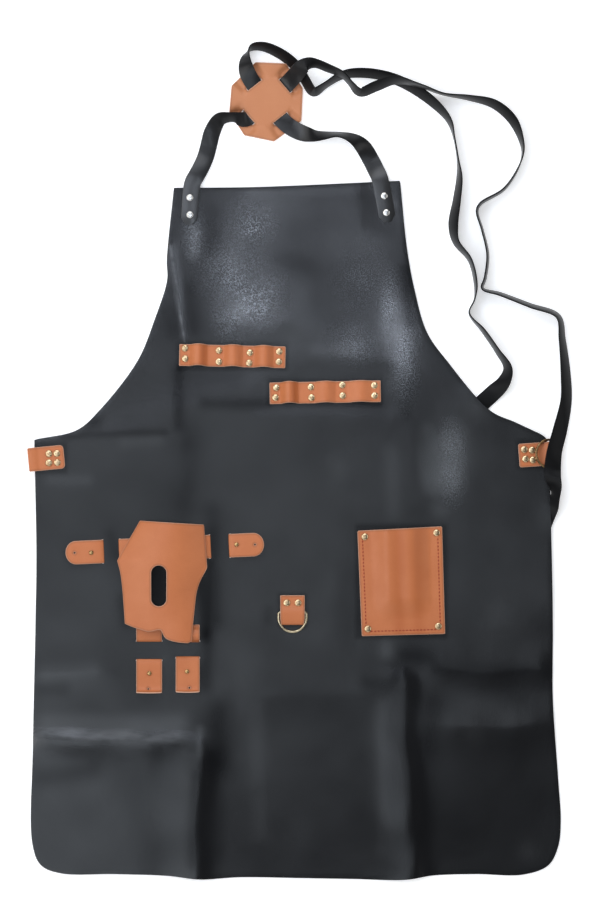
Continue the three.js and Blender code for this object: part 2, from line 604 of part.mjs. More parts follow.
function crossPatch() {
  const [right, up, left, down] = PATCH_SLOTS.map(({ out }) => out);
  const half = PATCH.slotWidth / 2;
  const stations = (low, high) => {
    const lips = [-low - half, -low + half, high - half, high + half];
    return [-PATCH.reach, ...lips, -low / 2, 0, high / 2, PATCH.reach].sort((a, b) => a - b);
  };
  const place = (x, y) => planPoint(PATCH, x, y);
  const slab = wallSlab(stations(left, right), stations(down, up), patchUnderside, TAN.thickness, place);
  const slots = PATCH_SLOTS.map(({ turn, out }) => {
    const blade = new THREE.BoxGeometry(PATCH.slotWidth, PATCH.slotLength, CUT_ABOVE);
    const at = planPoint({ ...PATCH, turn }, out, 0);
    return solid(placed(blade, at.x, at.y, turn));
  });
  return cutAll(solid(slab).intersect(prism(new THREE.Shape(vectors(PATCH_CORNERS)))), slots);
}

// Tool strips
function toolStrip({ x, y, turn, length, width, loops }) {
  const flat = ON_PANEL + TAN.thickness / 2;
  const arch = ({ from, to, height }) => steps(0, 1, LOOP_STEPS).map((part) => ({
    run: from + (to - from) * part,
    height: flat + height * Math.sin(Math.PI * part),
  }));
  const [start, end] = [-length / 2, length / 2].map((run) => ({ run, height: flat }));
  const section = [start, ...loops.flatMap(arch), end];
  return solid(placed(foldedStrip(section, TAN.thickness, width), x, y, turn));
}

// Waist tabs
function waistTab({ x, y, turn, length, corner }) {
  const over = ON_PANEL + TAN.thickness / 2;
  const under = PANEL.lift - GAP - TAN.thickness / 2;
  const top = over + WAIST_TAB.loopRise;
  const bend = (top - under) / 2;
  const foldAt = length - TAN.thickness / 2 - bend;
  const fold = steps(90, -90, WAIST_TAB.foldSteps).map((degrees) => {
    const angle = THREE.MathUtils.degToRad(degrees);
    return { run: foldAt + bend * Math.cos(angle), height: (top + under) / 2 + bend * Math.sin(angle) };
  });
  const section = [
    { run: 0, height: over }, { run: length - WAIST_TAB.loopRun - bend, height: over }, ...fold,
    { run: 0, height: under },
  ];
  const strip = solid(placed(foldedStrip(section, TAN.thickness, WAIST_TAB.width), x, y, turn));
  const half = WAIST_TAB.width / 2;
  const trim = new THREE.Shape();
  trim.moveTo(corner, -half);
  trim.lineTo(length, -half);
  trim.lineTo(length, half);
  trim.lineTo(corner, half);
  trim.quadraticCurveTo(0, half, 0, half - corner);
  trim.lineTo(0, corner - half);
  trim.quadraticCurveTo(0, -half, corner, -half);
  const points = trim.getPoints(CURVE_STEPS.corner);
  const outline = vectors(points.map((point) => planPoint({ x, y, turn }, point.x, point.y)));
  return strip.intersect(prism(new THREE.Shape(outline)));
}

// Rings
function ringGeometry({ wire, width, depth }) {
  const half = width / 2;
  const shape = new THREE.Path();
  const corner = wire * RING_CORNER;
  shape.moveTo(-half + corner, 0);
  shape.lineTo(half - corner, 0);
  shape.quadraticCurveTo(half, 0, half, -corner);
  shape.lineTo(half, half - depth);
  shape.absarc(0, half - depth, half, 0, -Math.PI, true);
  shape.lineTo(-half, -corner);
  shape.quadraticCurveTo(-half, 0, -half + corner, 0);
  const line = shape.getPoints(RING_STEPS).slice(1);
  const positions = [];
  const index = [];
  line.forEach((point, i) => {
    const ahead = line[(i + 1) % line.length];
    const run = ahead.clone().sub(line.at(i - 1)).normalize();
    for (let k = 0; k < RING_SIDES; k += 1) {
      const angle = (2 * Math.PI * k) / RING_SIDES;
      const out = (wire / 2) * Math.cos(angle);
      positions.push(point.x + run.y * out, point.y - run.x * out, (wire / 2) * Math.sin(angle));
      const next = ((i + 1) % line.length) * RING_SIDES;
      const [a, b] = [i * RING_SIDES + k, i * RING_SIDES + ((k + 1) % RING_SIDES)];
      const [c, d] = [next + k, next + ((k + 1) % RING_SIDES)];
      index.push(a, c, b, b, c, d);
    }
  });
  const geometry = new THREE.BufferGeometry();
  geometry.setAttribute('position', new THREE.Float32BufferAttribute(positions, 3));
  geometry.setIndex(index);
  return geometry;
}

// Ring tab
function ringTab() {
  const { x, top, length, half, endHalf, straight, overrun } = RING_TAB;
  const section = RING_TAB_SECTION.map(({ run, height }) => ({ run, height: PANEL_TOP + height }));
  const strip = solid(placed(foldedStrip(section, TAN.thickness, 2 * half), x, top, -90));
  const outline = [
    { x: x - half, y: top + overrun }, { x: x - half, y: top - straight },
    { x: x - endHalf, y: top - length }, { x: x + endHalf, y: top - length },
    { x: x + half, y: top - straight }, { x: x + half, y: top + overrun },
  ];
  return strip.intersect(prism(new THREE.Shape(vectors(outline))));
}

// Pocket
function pocketPlace(u, v) {
  const { topLeft, topRight, bottomRight, bottomLeft } = POCKET_CORNERS;
  const mix = (axis) => {
    const low = THREE.MathUtils.lerp(bottomLeft[axis], bottomRight[axis], u);
    return THREE.MathUtils.lerp(low, THREE.MathUtils.lerp(topLeft[axis], topRight[axis], u), v);
  };
  return { x: mix('x'), y: mix('y') };
}

function pocketBulge(u, v) {
  const sides = ease(u, POCKET.seam, POCKET.fade) * ease(1 - u, POCKET.seam, POCKET.fade);
  const wave = Math.cos((2 * Math.PI * (u - POCKET.ridge)) / POCKET.ripple);
  const front = THREE.MathUtils.lerp(POCKET.low, POCKET.mouth, v) * ease(v, POCKET.seam, POCKET.fade);
  return front * sides * (1 - POCKET.rippleDepth * (1 - wave) * 0.5);
}

function pocketRise({ x, y }) {
  const { topLeft, topRight, bottomLeft } = POCKET_CORNERS;
  const u = (x - topLeft.x) / (topRight.x - topLeft.x);
  const v = (y - bottomLeft.y) / (topLeft.y - bottomLeft.y);
  return pocketBulge(u, v);
}

function pocketBody() {
  const us = steps(0, 1, POCKET_COLUMNS);
  const vs = steps(0, 1, POCKET_ROWS);
  const field = vs.flatMap((v) => us.map((u) => ({ ...pocketPlace(u, v), rise: pocketBulge(u, v) })));
  const underside = (x, y) => ON_PANEL + field.find((at) => at.x === x && at.y === y).rise;
  return solid(wallSlab(us, vs, underside, TAN.thickness, pocketPlace));
}

// Holster
function holsterSection(y) {
  const below = HOLSTER_SECTIONS.findIndex((row) => row.y <= y);
  const low = HOLSTER_SECTIONS[below < 0 ? HOLSTER_SECTIONS.length - 1 : Math.max(below, 1)];
  const high = HOLSTER_SECTIONS[HOLSTER_SECTIONS.indexOf(low) - 1];
  const part = THREE.MathUtils.clamp((y - low.y) / (high.y - low.y), 0, 1);
  const mix = (key) => THREE.MathUtils.lerp(low[key], high[key], part);
  return { left: mix('left'), right: mix('right'), bow: mix('bow'), rightLift: mix('rightLift') };
}

function holsterUnderside(x, y) {
  const { left, right, bow, rightLift } = holsterSection(y);
  const u = THREE.MathUtils.clamp((x - left) / (right - left), 0, 1);
  return ON_PANEL + ONE_TAN + bow * Math.sin(Math.PI * u) + rightLift * ease(u, HOLSTER_LIFT_FROM, 1);
}

function holsterBody() {
  const { left: fieldLeft, right: fieldRight, bottom, top, columns, rows } = HOLSTER_FIELD;
  const xs = steps(fieldLeft, fieldRight, columns);
  const ys = steps(bottom, top, rows);
  const rightEdge = HOLSTER_SECTIONS.map(({ y, right }) => ({ x: right, y }));
  const leftEdge = HOLSTER_SECTIONS.slice(0, -1).map(({ y, left }) => ({ x: left, y })).reverse();
  const outline = new THREE.Shape(vectors([...rightEdge, ...HOLSTER_FOOT, ...leftEdge]));
  const round = HOLSTER_SLOT.width / 2;
  const straight = HOLSTER_SLOT.length / 2 - round;
  const oval = new THREE.Shape();
  oval.absarc(HOLSTER_SLOT.x, HOLSTER_SLOT.y + straight, round, 0, Math.PI);
  oval.absarc(HOLSTER_SLOT.x, HOLSTER_SLOT.y - straight, round, Math.PI, 2 * Math.PI);
  const front = solid(wallSlab(xs, ys, holsterUnderside, TAN.thickness)).intersect(prism(outline));
  return front.subtract(prism(oval, CURVE_STEPS.oval));
}

// Holster belt and lower straps
function wovenStrap({ x, y, turn = 0, width, section, holes }, lengthwise) {
  const heading = turn + (lengthwise ? 90 : 0);
  const strip = solid(placed(foldedStrip(section, TAN.thickness, width), x, y, heading));
  const spots = holes.map(({ run, side }) => planPoint({ x, y, turn: heading }, run, side));
  return cutAll(strip, spots.map((spot) => hole(spot, TAB_HOLE)));
}

function roundEnds(body, { x, y, turn, width, section }) {
  const from = section[0].run;
  const to = section[section.length - 1].run;
  const half = width / 2;
  const round = half * TAB_ROUND;
  const shape = new THREE.Shape();
  shape.absellipse(from + round, 0, round, half, Math.PI / 2, (3 * Math.PI) / 2);
  shape.absellipse(to - round, 0, round, half, -Math.PI / 2, Math.PI / 2);
  const points = shape.getPoints(CURVE_STEPS.oval);
  const outline = vectors(points.map((point) => planPoint({ x, y, turn }, point.x, point.y)));
  return body.intersect(prism(new THREE.Shape(outline)));
}

// Rivets and studs: a domed cap, a shank through the leather, and a flat back cap.
function fastener(size, grip) {
  const profile = [
    [0, -grip - size.backHeight - GAP], [size.backRadius, -grip - GAP], [size.shank, -grip - GAP],
    [size.shank, GAP], [size.radius, GAP],
    [size.radius * DOME.shoulder, size.height * DOME.shoulderHeight + GAP], [0, size.height + GAP],
  ];
  const lathe = new THREE.LatheGeometry(profile.map(([r, z]) => new THREE.Vector2(r, z)), size.sides);
  return lathe.rotateX(Math.PI / 2);
}

function fasteners() {
  const rivets = RIVET_SETS.flatMap(({ set, over, under, rise = () => 0, at }) => at.map((spot, i) => {
    const bottom = panelUnderside(spot.x, spot.y) - under;
    const top = panelUnderside(spot.x, spot.y) + PANEL.thickness + over + rise(spot);
    return { name: `rivet_${set}_${i + 1}`, size: RIVET, spot, top, grip: top - bottom };
  }));
  const studs = STUD_SETS.map(({ name, ...spot }) => {
    const top = ON_PANEL + TAN.thickness;
    return { name, size: STUD, spot, top, grip: top - PANEL.lift };
  });
  return [...rivets, ...studs];
}

// Assembly
const apron = new THREE.Group();
apron.name = 'apron';

function addPiece(name, geometry, finish) {
  const mesh = new THREE.Mesh(geometry, new THREE.MeshStandardMaterial(COLOUR[finish]));
  mesh.name = name;
  apron.add(mesh);
  return mesh;
}

const fixings = fasteners();
const holesFor = (prefix) => fixings.filter(({ name }) => name.startsWith(prefix))
  .map(({ spot, size }) => hole(spot, size.hole));

function addCut(name, body, prefix, finish) {
  addPiece(name, geometryOf(cutAll(body, holesFor(prefix))), finish);
}

addPiece('apron_panel', geometryOf(panelBody(holesFor(''))), 'panel');
addCut('neck_strap_left', solid(strapGeometry(LEFT_ROUTE)), 'rivet_bib_left', 'strap');
addCut('neck_strap_right', solid(strapGeometry(RIGHT_ROUTE)), 'rivet_bib_right', 'strap');
addPiece('cross_patch', geometryOf(crossPatch()), 'tan');
addCut('tool_strip_upper', toolStrip(TOOL_STRIPS[0]), 'rivet_upper_strip', 'tan');
addCut('tool_strip_lower', toolStrip(TOOL_STRIPS[1]), 'rivet_lower_strip', 'tan');
addCut('waist_tab_left', waistTab(WAIST_TABS[0]), 'rivet_waist_left', 'tan');
addCut('waist_tab_right', waistTab(WAIST_TABS[1]), 'rivet_waist_right', 'tan');
addPiece('holster', geometryOf(holsterBody()), 'tan');
addCut('holster_belt', roundEnds(wovenStrap(BELT, false), BELT), 'stud_', 'tan');
LOWER_STRAPS.forEach((strap) => addCut(strap.name, wovenStrap(strap, true), 'stud_lower', 'tan'));
addCut('ring_tab', ringTab(), 'rivet_ring_tab', 'tan');
addCut('pocket', pocketBody(), 'rivet_pocket', 'tan');

const dRing = addPiece('d_ring', ringGeometry(D_RING), 'brass');
dRing.position.set(D_RING.x, D_RING.y, PANEL_TOP + ONE_TAN + GAP + D_RING.wire / 2);
dRing.rotation.x = THREE.MathUtils.degToRad(D_RING.tilt);

const rightTab = WAIST_TABS[1];
const waistRing = addPiece('waist_ring', ringGeometry(WAIST_RING), 'brass');
const barAt = planPoint(rightTab, rightTab.length - WAIST_RING.fromFold, 0);
waistRing.position.set(barAt.x, barAt.y, WAIST_RING.height);
waistRing.rotation.order = 'ZXY';
waistRing.rotation.z = THREE.MathUtils.degToRad(rightTab.turn - 90);
waistRing.rotation.x = THREE.MathUtils.degToRad(-WAIST_RING.tilt);

fixings.forEach(({ name, size, spot, top, grip }) => {
  addPiece(name, fastener(size, grip), 'brass').position.set(spot.x, spot.y, top);
});

export default apron;
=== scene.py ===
import math

import bpy
import numpy as np
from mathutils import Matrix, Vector, geometry, kdtree, noise


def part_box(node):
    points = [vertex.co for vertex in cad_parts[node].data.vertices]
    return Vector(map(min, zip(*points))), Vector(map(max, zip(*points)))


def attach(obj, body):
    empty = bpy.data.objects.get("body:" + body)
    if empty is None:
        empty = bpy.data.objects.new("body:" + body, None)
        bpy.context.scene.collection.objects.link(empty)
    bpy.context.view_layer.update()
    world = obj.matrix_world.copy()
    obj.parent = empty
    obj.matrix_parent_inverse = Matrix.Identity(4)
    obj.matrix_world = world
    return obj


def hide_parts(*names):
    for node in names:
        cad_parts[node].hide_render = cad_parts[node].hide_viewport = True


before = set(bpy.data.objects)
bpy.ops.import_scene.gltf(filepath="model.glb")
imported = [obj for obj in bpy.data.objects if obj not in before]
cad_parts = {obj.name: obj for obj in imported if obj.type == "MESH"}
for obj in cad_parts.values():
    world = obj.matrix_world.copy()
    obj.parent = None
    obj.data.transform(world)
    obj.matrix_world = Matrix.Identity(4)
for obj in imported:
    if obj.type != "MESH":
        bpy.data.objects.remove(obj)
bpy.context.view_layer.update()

# Apron panel
# One piece of black faux leather, a millimetre and a half thick, with bib, armholes and skirt cut in one.
# Set-in fold creases stand up from the floor that it lies on. Sizes and places are in millimetres.
MM = 0.001
PANEL = {"thickness": 1.5, "lift": 3.4, "pitch": 3.2, "step": 3, "hem_flat": 8, "hem_fall": 110}
SKIRT = {"left": -303, "right": 290, "hem": -474, "fall_start": 150, "fall_end": 235}
BIB_TOP = ((-143, 310), (-60, 310.6), (-12, 312.2), (60, 315.4), (113.5, 318))
RIGHT_ARMHOLE = (
    (113.5, 318), (121.5, 240), (130, 194), (144, 146), (168, 112), (216, 57), (244, 44), (272, 31),
)
SIDES_AND_HEM = (
    (272, 31), (279, 26), (281.5, 16), (285.5, -100), (287, -190), (287, -270), (293, -360), (296, -410),
    (293, -438), (282, -459), (254, -469.5), (200, -469), (152, -470.5), (118, -475.5), (60, -474.5),
    (2, -473.5), (-68, -472.5), (-113, -475), (-150, -471), (-210, -469), (-272, -468), (-294, -459),
    (-303.5, -436), (-303, -320), (-300, -180), (-299, -110), (-301.5, 24),
)
LEFT_ARMHOLE = (
    (-301.5, 24), (-253, 35), (-227, 58), (-184, 114), (-165, 160), (-150.5, 206), (-151, 228), (-143, 310),
)
# Each crease is a ridge: one end, the other end, half width, height, and how much gentler its lit side is.
FOLDS = (
    (-147, 246, -139, 190, 5, 0.7, 0.6),
    (-139, 190, -131, 136, 5, 0.65, 0.6),
    (-139, 74, -139, -40, 18, 1.9, 1.8),
    (-111, -318, -118, -490, 15, 6, 1.8),
    (130, 40, 132, -50, 22, 1.6, 1.8),
    (115, -240, 130, -490, 16, 5.5, 1.8),
    (-128, 63, -60, 62, 16, 1.2, 1.8),
    (-246, 22, -155, 36, 14, 1.4, 1.8),
    (-300, -236, -215, -237, 16, 1.8, 1.4),
    (-303, -315, -128, -320, 22, 5.4, 0.75),
    (-298, -290, -170, -298, 16, 1.2, 0.8),
    (152, -300, 288, -298, 28, 4.0, 0.9),
    (150, -237, 286, -238, 17, 3.0, 1.2),
    (-78, -266, 92, -262, 24, 1.8, 1.8),
    (290, -48, 290, -78, 16, 2.6, 1.0),
    (192, 84, 216, 56, 14, 1.4, 1.0),
    (-60, 50, 118, 50, 14, 0.8, 1.6),
    (-98, -112, -101, -196, 10, -1.6, 1.0),
)
# How a crease is shaped: shares of its round and its sharp crest, then its sway and its unevenness.
CREST = {
    "round": 0.7, "sharp": 0.3, "steep": 2.2, "blunt": 0.15, "height": 0.85,
    "sway": 0.3, "sway_run": 60, "uneven": 0.4, "uneven_run": 45,
}
# Finer rows of points along the bib's crease: their step, and how far aside each row is.
CREASE_STEP = 2.4
CREASE_ASIDES = (-5, -3.6, -2.4, -1.2, 0, 1.2, 2.4, 3.6, 5)
# Creases made pale, partly by rubbed wear and partly as painted highlight: which crease, half width, how far
# to its left, strength.
CREASE_WEAR_AND_HIGHLIGHT = ((0, 1.3, 0, 1.0), (1, 1.3, 0, 1.0), (9, 7, 7, 0.7))
# Places of painted sheen, as pale flecks on the grain tips: middle, reach across and along, strength.
PAINTED_SHEEN_SPOTS = (
    (-57, 270, 20, 20, 0.75), (-74, 214, 26, 28, 0.75), (-53, 183, 26, 24, 1.0), (-78, 160, 16, 18, 0.8),
    (63, 136, 24, 20, 0.5), (70, 210, 26, 40, 0.25), (102, 172, 11, 34, 0.8), (119, 124, 12, 38, 0.9),
    (172, 0, 11, 42, 0.45), (-120, 256, 9, 26, 0.5),
)
PAINTED_SHEEN_CLOUD = {"size": 24, "seed": 2.5, "least": 0.5, "most": 1.2}
# Runs of painted shade, a duller coat in a crease or beside a piece, and of painted sheen, a shinier one:
# both ends, half width, change.
PAINTED_SHADE_RUNS = (
    (-262, -104.4, -232, -103, 11, -0.8), (-74, -96, -46, -94.7, 11, -0.8),
    (-171, -256, -171, -234, 12, -0.8), (-127.5, -254, -127.5, -230, 11, -0.8),
    (-160, -100, -160, -185, 34, -0.9), (-114, -130, -109, -205, 8, -0.45),
    (-218, -78, -208, -112, 8, -0.25), (-203, -150, -196, -190, 7, -0.25), (-139, 109, -139, 34, 8, -0.52),
    (-128, 30, -128, -66, 18, -0.32), (-114, 64, -34, 64, 8, -0.5), (-131, 95, -60, 92, 12, -0.25),
    (-272, 28, -150, 33, 5, -0.45), (-250, 42, -225, 46, 10, -0.6), (-102, -48, -97, -74, 12, -0.4),
    (-99, -74, -96, -190, 12, -0.6), (-104, -190, -106, -262, 9, -0.45), (-88, -268, -92, -360, 19, -0.65),
    (-97, -330, -97, -465, 14, -0.25), (-118, -350, -122, -465, 9, -0.45),
    (-190, -442, -140, -462, 30, -0.35), (-302, -360, -225, -350, 14, -0.36),
    (-240, -334, -115, -336, 12, -0.16), (-302, -258, -262, -258, 10, -0.36),
    (108, -222, 160, -226, 15, -0.6), (150, -262, 150, -340, 16, -0.55), (143, -340, 143, -440, 14, -0.25),
    (150, -238, 288, -238, 8, -0.35), (68, -250, 112, -252, 10, -0.4), (95, -455, 118, -465, 14, -0.4),
    (-100, 290, -98, 230, 14, -0.3), (119, 225, 126, 150, 8, -0.5), (30, 158, 62, 156, 14, -0.2),
    (-126, 206, -118, 140, 15, -0.42), (-152, 180, -145, 140, 10, -0.3), (-34, 229, 20, 223, 15, -0.32),
    (84, 78, 84, 52, 16, -0.2), (-36, -165, -36, -186, 7, -0.25), (110, -232, 108, -250, 8, -0.4),
)
PAINTED_SHEEN_RUNS = (
    (40, 265, 105, 265, 40, 0.5), (-60, 304, 100, 311, 7, 0.4), (-50, 284, 10, 290, 18, 0.4),
    (97, 230, 97, 185, 12, 0.3), (-10, 150, -10, 115, 16, 0.3), (2, 205, 5, 150, 12, 0.3),
    (10, 125, 65, 125, 8, 0.3), (-75, 265, -75, 222, 16, 0.3), (-80, 180, -75, 155, 16, 0.3),
    (-119, 270, -121, 228, 6, 0.6), (-205, 22, -155, 26, 8, 0.3), (-288, -22, -235, -22, 7, 0.35),
    (103, 18, 106, -65, 10, 0.42), (35, 8, 50, -18, 10, 0.2), (139, 41, 147, 33, 9, 0.7),
    (150, -52, 168, -58, 9, 0.6), (-295, -237, -228, -236, 9, 0.35), (-297, -295, -128, -297, 12, 0.75),
    (104, 300, 106, 285, 6, 0.6), (-113, -300, -112, -338, 5, 0.6), (-60, -205, -60, -250, 22, 0.26),
    (-50, -272, -46, -430, 10, 0.42), (2, -390, 8, -440, 14, 0.22), (96, -205, 97, -224, 9, 0.8),
    (93, -270, 94, -450, 9, 0.42), (185, -285, 288, -290, 15, 0.5), (188, -303, 205, -320, 14, 0.6),
    (220, -165, 235, -190, 16, 0.35), (250, -446, 266, -440, 12, 0.7),
)
# The coat's shine: lower beside a fitted piece as painted contact shade, what open leather has more, how wide
# the change is, and its limits.
SHINE_AND_CONTACT_SHADE = {"beside": 0.6, "open": 0.4, "halo": (0, 6), "least": 0.1, "most": 1.9}
GLOSS_CLOUDS = ((95, 0.2, 5.5), (34, 0.14, 8.5))  # size, change, seed
# Slits that the holster's straps pass through: middle, turn, length.
SLITS = (
    (-223.9, -102.7, 2.6, 28), (-204.4, -101.8, 2.6, 28), (-102.6, -97.2, 2.6, 28), (-79.6, -96.2, 2.6, 28),
    (-171.2, -226, 90, 30.6), (-171.2, -204, 90, 30.6), (-127.5, -223, 90, 28.6), (-127.5, -204, 90, 28.6),
)
SLIT_WIDTH = 2.8
WRINKLES = ((190, 1.1, 3.1), (75, 0.5, 7.7), (26, 0.1, 12.3))  # size, height, seed
WRINKLE_RISE = 0.3
CALM = (2, 30)  # no wrinkles this near a fitted piece, all of them this far off
# How a sheet is cut: point spacing at cuts and off the rim, then the rim's thickness, rounding and raw edge.
SHEET = {"cut_pitch": 0.6, "rim_room": 0.6, "rim_thin": 0.75, "rim_out": 0.2, "rim_cut": 0.4, "sharp": 42}
# Pale crease colour: partly wear, partly painted highlight.
WEAR_AND_HIGHLIGHT_TONE = (0.11, 0.114, 0.122, 1)
# Pale fleck colour of the painted sheen.
SHEEN_FLECK_TONE = (0.202, 0.222, 0.25, 1)


def ease(value, low, high):
    """0 at the low value, 1 at the high one, with a smooth change between."""
    part = np.clip((value - low) / (high - low), 0, 1)
    return part * part * (3 - 2 * part)


def curve_through(rows, step):
    """Rows about a step apart on a smooth line through these rows, whose first two columns are the plan."""
    p = np.asarray(rows, float)
    p = np.vstack([2 * p[0] - p[1], p, 2 * p[-1] - p[-2]])
    line = []
    for a, b, c, d in zip(p, p[1:], p[2:], p[3:]):
        before, here, after = (max(math.hypot(*v[:2]), 1e-6) ** 0.5 for v in (b - a, c - b, d - c))
        into = ((b - a) / before - (c - a) / (before + here) + (c - b) / here) * here
        out = ((c - b) / here - (d - b) / (here + after) + (d - c) / after) * here
        square, cube = 3 * (c - b) - 2 * into - out, 2 * (b - c) + into + out
        count = max(1, round(math.hypot(*(c - b)[:2]) / step))
        for t in np.arange(count) / count:
            line.append(b + into * t + square * t**2 + cube * t**3)
    return np.array([*line, p[-2]])


def spaced(loop, pitch):
    """A closed line's points, evenly spaced."""
    loop = np.asarray(loop, float)
    ring = np.vstack([loop, loop[:1]])
    along = np.r_[0, np.cumsum(np.hypot(*np.diff(ring, axis=0).T))]
    count = max(8, round(along[-1] / pitch))
    at = np.arange(count) * along[-1] / count
    return np.column_stack([np.interp(at, along, ring[:, k]) for k in (0, 1)])


def inside(points, loop):
    x, y = points.T
    found = np.zeros(len(points), bool)
    for (x1, y1), (x2, y2) in zip(loop, np.roll(loop, -1, axis=0)):
        if y1 != y2:
            found ^= ((y1 > y) != (y2 > y)) & (x < (x2 - x1) * (y - y1) / (y2 - y1) + x1)
    return found


def box_loop(x, y, turn, length, width):
    """A slit's four corners, its length across the run that turns by that angle."""
    c, s = math.cos(math.radians(turn)), math.sin(math.radians(turn))
    corners = [(u * width / 2, v * length / 2) for u, v in ((-1, -1), (1, -1), (1, 1), (-1, 1))]
    return [(x + u * c - v * s, y + u * s + v * c) for u, v in corners]


def place_mesh(name, points, faces, finish):
    """A new object at the origin whose mesh has these points, given in millimetres."""
    mesh = bpy.data.meshes.new(name)
    mesh.from_pydata((np.asarray(points) * MM).tolist(), [], faces)
    mesh.materials.append(finish)
    mesh.shade_smooth()
    mesh.set_sharp_from_angle(angle=math.radians(SHEET["sharp"]))
    obj = bpy.data.objects.new(name, mesh)
    bpy.context.scene.collection.objects.link(obj)
    return obj


def mark(obj, key, values):
    """Gives each point of a piece a value that its finish or its tree reads."""
    attribute = obj.data.attributes.new(key, "FLOAT", "POINT")
    attribute.data.foreach_set("value", np.asarray(values, np.float32))


def leather_sheet(name, outline, cuts, pitch, lay, thickness, finish, extra=()):
    """Leather cut flat to an outline, with its slits and holes, then laid: lay gives the wall's middle."""
    rings = [spaced(outline, pitch)] + [spaced(cut, pitch * SHEET["cut_pitch"]) for cut in cuts]
    rim = np.vstack(rings)
    tree = kdtree.KDTree(len(rim))
    for i, (x, y) in enumerate(rim):
        tree.insert((x, y, 0), i)
    tree.balance()

    def off_rim(spots):
        return np.array([tree.find((x, y, 0))[2] for x, y in spots])

    low, high = rim.min(0), rim.max(0)
    row = pitch * math.sqrt(3) / 2
    grid = np.array([
        (x + (j % 2) * pitch / 2, y)
        for j, y in enumerate(np.arange(low[1], high[1], row))
        for x in np.arange(low[0], high[0], pitch)
    ])
    keep = inside(grid, rings[0]) & (off_rim(grid) > SHEET["rim_room"] * pitch)
    for ring in rings[1:]:
        keep &= ~inside(grid, ring)
    edges, start = [], 0
    for ring in rings:
        edges += [(start + i, start + (i + 1) % len(ring)) for i in range(len(ring))]
        start += len(ring)
    flat = [Vector(p) for p in [*rim, *grid[keep], *extra]]
    found = geometry.delaunay_2d_cdt(flat, edges, [], 1, 1e-5)
    flat = np.array([tuple(v) for v in found[0]])
    tri = np.array([f for f in found[2] if len(f) == 3])
    centre = flat[tri].mean(1)
    for ring in rings[1:]:
        outside = ~inside(centre, ring)
        tri, centre = tri[outside], centre[outside]
    a, b, c = (flat[tri[:, k]] for k in range(3))
    turn = (b - a)[:, 0] * (c - a)[:, 1] - (b - a)[:, 1] * (c - a)[:, 0]
    tri[turn < 0] = tri[turn < 0][:, ::-1]
    used = np.unique(tri)
    tri, flat = np.searchsorted(used, tri), flat[used]

    middle = lay(flat[:, 0], flat[:, 1])
    normal = np.zeros_like(middle)
    face = np.cross(middle[tri[:, 1]] - middle[tri[:, 0]], middle[tri[:, 2]] - middle[tri[:, 0]])
    for k in range(3):
        np.add.at(normal, tri[:, k], face)
    normal /= np.linalg.norm(normal, axis=1)[:, None] + 1e-12
    sides = dict.fromkeys((f[k], f[(k + 1) % 3]) for f in tri.tolist() for k in range(3))
    border = [(i, j) for i, j in sides if (j, i) not in sides]
    out = np.zeros_like(middle)
    for i, j in border:
        way = np.cross(middle[j] - middle[i], normal[i])
        out[i] += way
        out[j] += way
    ends = sorted({i for pair in border for i in pair})
    out = out[ends] / (np.linalg.norm(out[ends], axis=1)[:, None] + 1e-12)
    half = np.full(len(flat), thickness / 2)
    half[ends] *= SHEET["rim_thin"]
    count = len(flat)
    ring_at = {i: 2 * count + k for k, i in enumerate(ends)}
    points = np.vstack([
        middle + normal * half[:, None], middle - normal * half[:, None],
        middle[ends] + out * thickness * SHEET["rim_out"],
    ])
    faces = tri.tolist() + (tri[:, ::-1] + count).tolist()
    for i, j in border:
        faces += [(ring_at[i], ring_at[j], j, i), (i + count, j + count, ring_at[j], ring_at[i])]
    obj = place_mesh(name, points, faces, finish)
    cut = np.zeros(len(points))
    cut[2 * count:] = 1
    cut[ends] = cut[np.array(ends) + count] = SHEET["rim_cut"]
    mark(obj, "cut", cut)
    inset = off_rim(flat)
    mark(obj, "inset", np.r_[inset, inset, np.zeros(len(ends))])
    return obj


def supply(tree, socket, value):
    """Gives a socket a value, or links it to another socket."""
    if isinstance(value, bpy.types.NodeSocket):
        tree.links.new(value, socket)
    else:
        socket.default_value = value


def feed(tree, node, **inputs):
    for key, value in inputs.items():
        supply(tree, node.inputs[key.replace("_", " ")], value)


def put(tree, kind, settings=None, **inputs):
    """A new node with its settings and its inputs."""
    made = tree.nodes.new(kind)
    for key, value in (settings or {}).items():
        setattr(made, key, value)
    feed(tree, made, **inputs)
    return made


def calculate(tree, operation, first, second):
    made = put(tree, "ShaderNodeMath", {"operation": operation})
    supply(tree, made.inputs[0], first)
    supply(tree, made.inputs[1], second)
    return made.outputs[0]


def new_finish(name, **sockets):
    """A material with one shader, constants on the shader's own sockets, and object coordinates to read."""
    material = bpy.data.materials.new(name)
    material.use_nodes = True
    tree = material.node_tree
    shader = tree.nodes["Principled BSDF"]
    feed(tree, shader, **sockets)
    return material, tree, shader, put(tree, "ShaderNodeTexCoord").outputs["Object"]


def mottle(tree, where, scale, detail, roughness=0.5):
    made = put(tree, "ShaderNodeTexNoise", Vector=where, Scale=scale, Detail=detail, Roughness=roughness)
    return made.outputs["Fac"]


def reading(tree, key):
    """The value that a piece's points were marked with."""
    return put(tree, "ShaderNodeAttribute", {"attribute_name": key}).outputs["Fac"]


def embossed(tree, height, strength, depth, **over):
    """A bumpy normal, over another one where that is given."""
    made = put(tree, "ShaderNodeBump", Height=height, Strength=strength, Distance=depth, **over)
    return made.outputs["Normal"]


def span(tree, value, low, high, to_low, to_high):
    """A value carried from one range to another and held at its ends."""
    made = put(
        tree, "ShaderNodeMapRange", Value=value, From_Min=low, From_Max=high, To_Min=to_low, To_Max=to_high,
    )
    return made.outputs["Result"]


def blend_colours(tree, part, first, second):
    return put(tree, "ShaderNodeMixRGB", Fac=part, Color1=first, Color2=second).outputs["Color"]


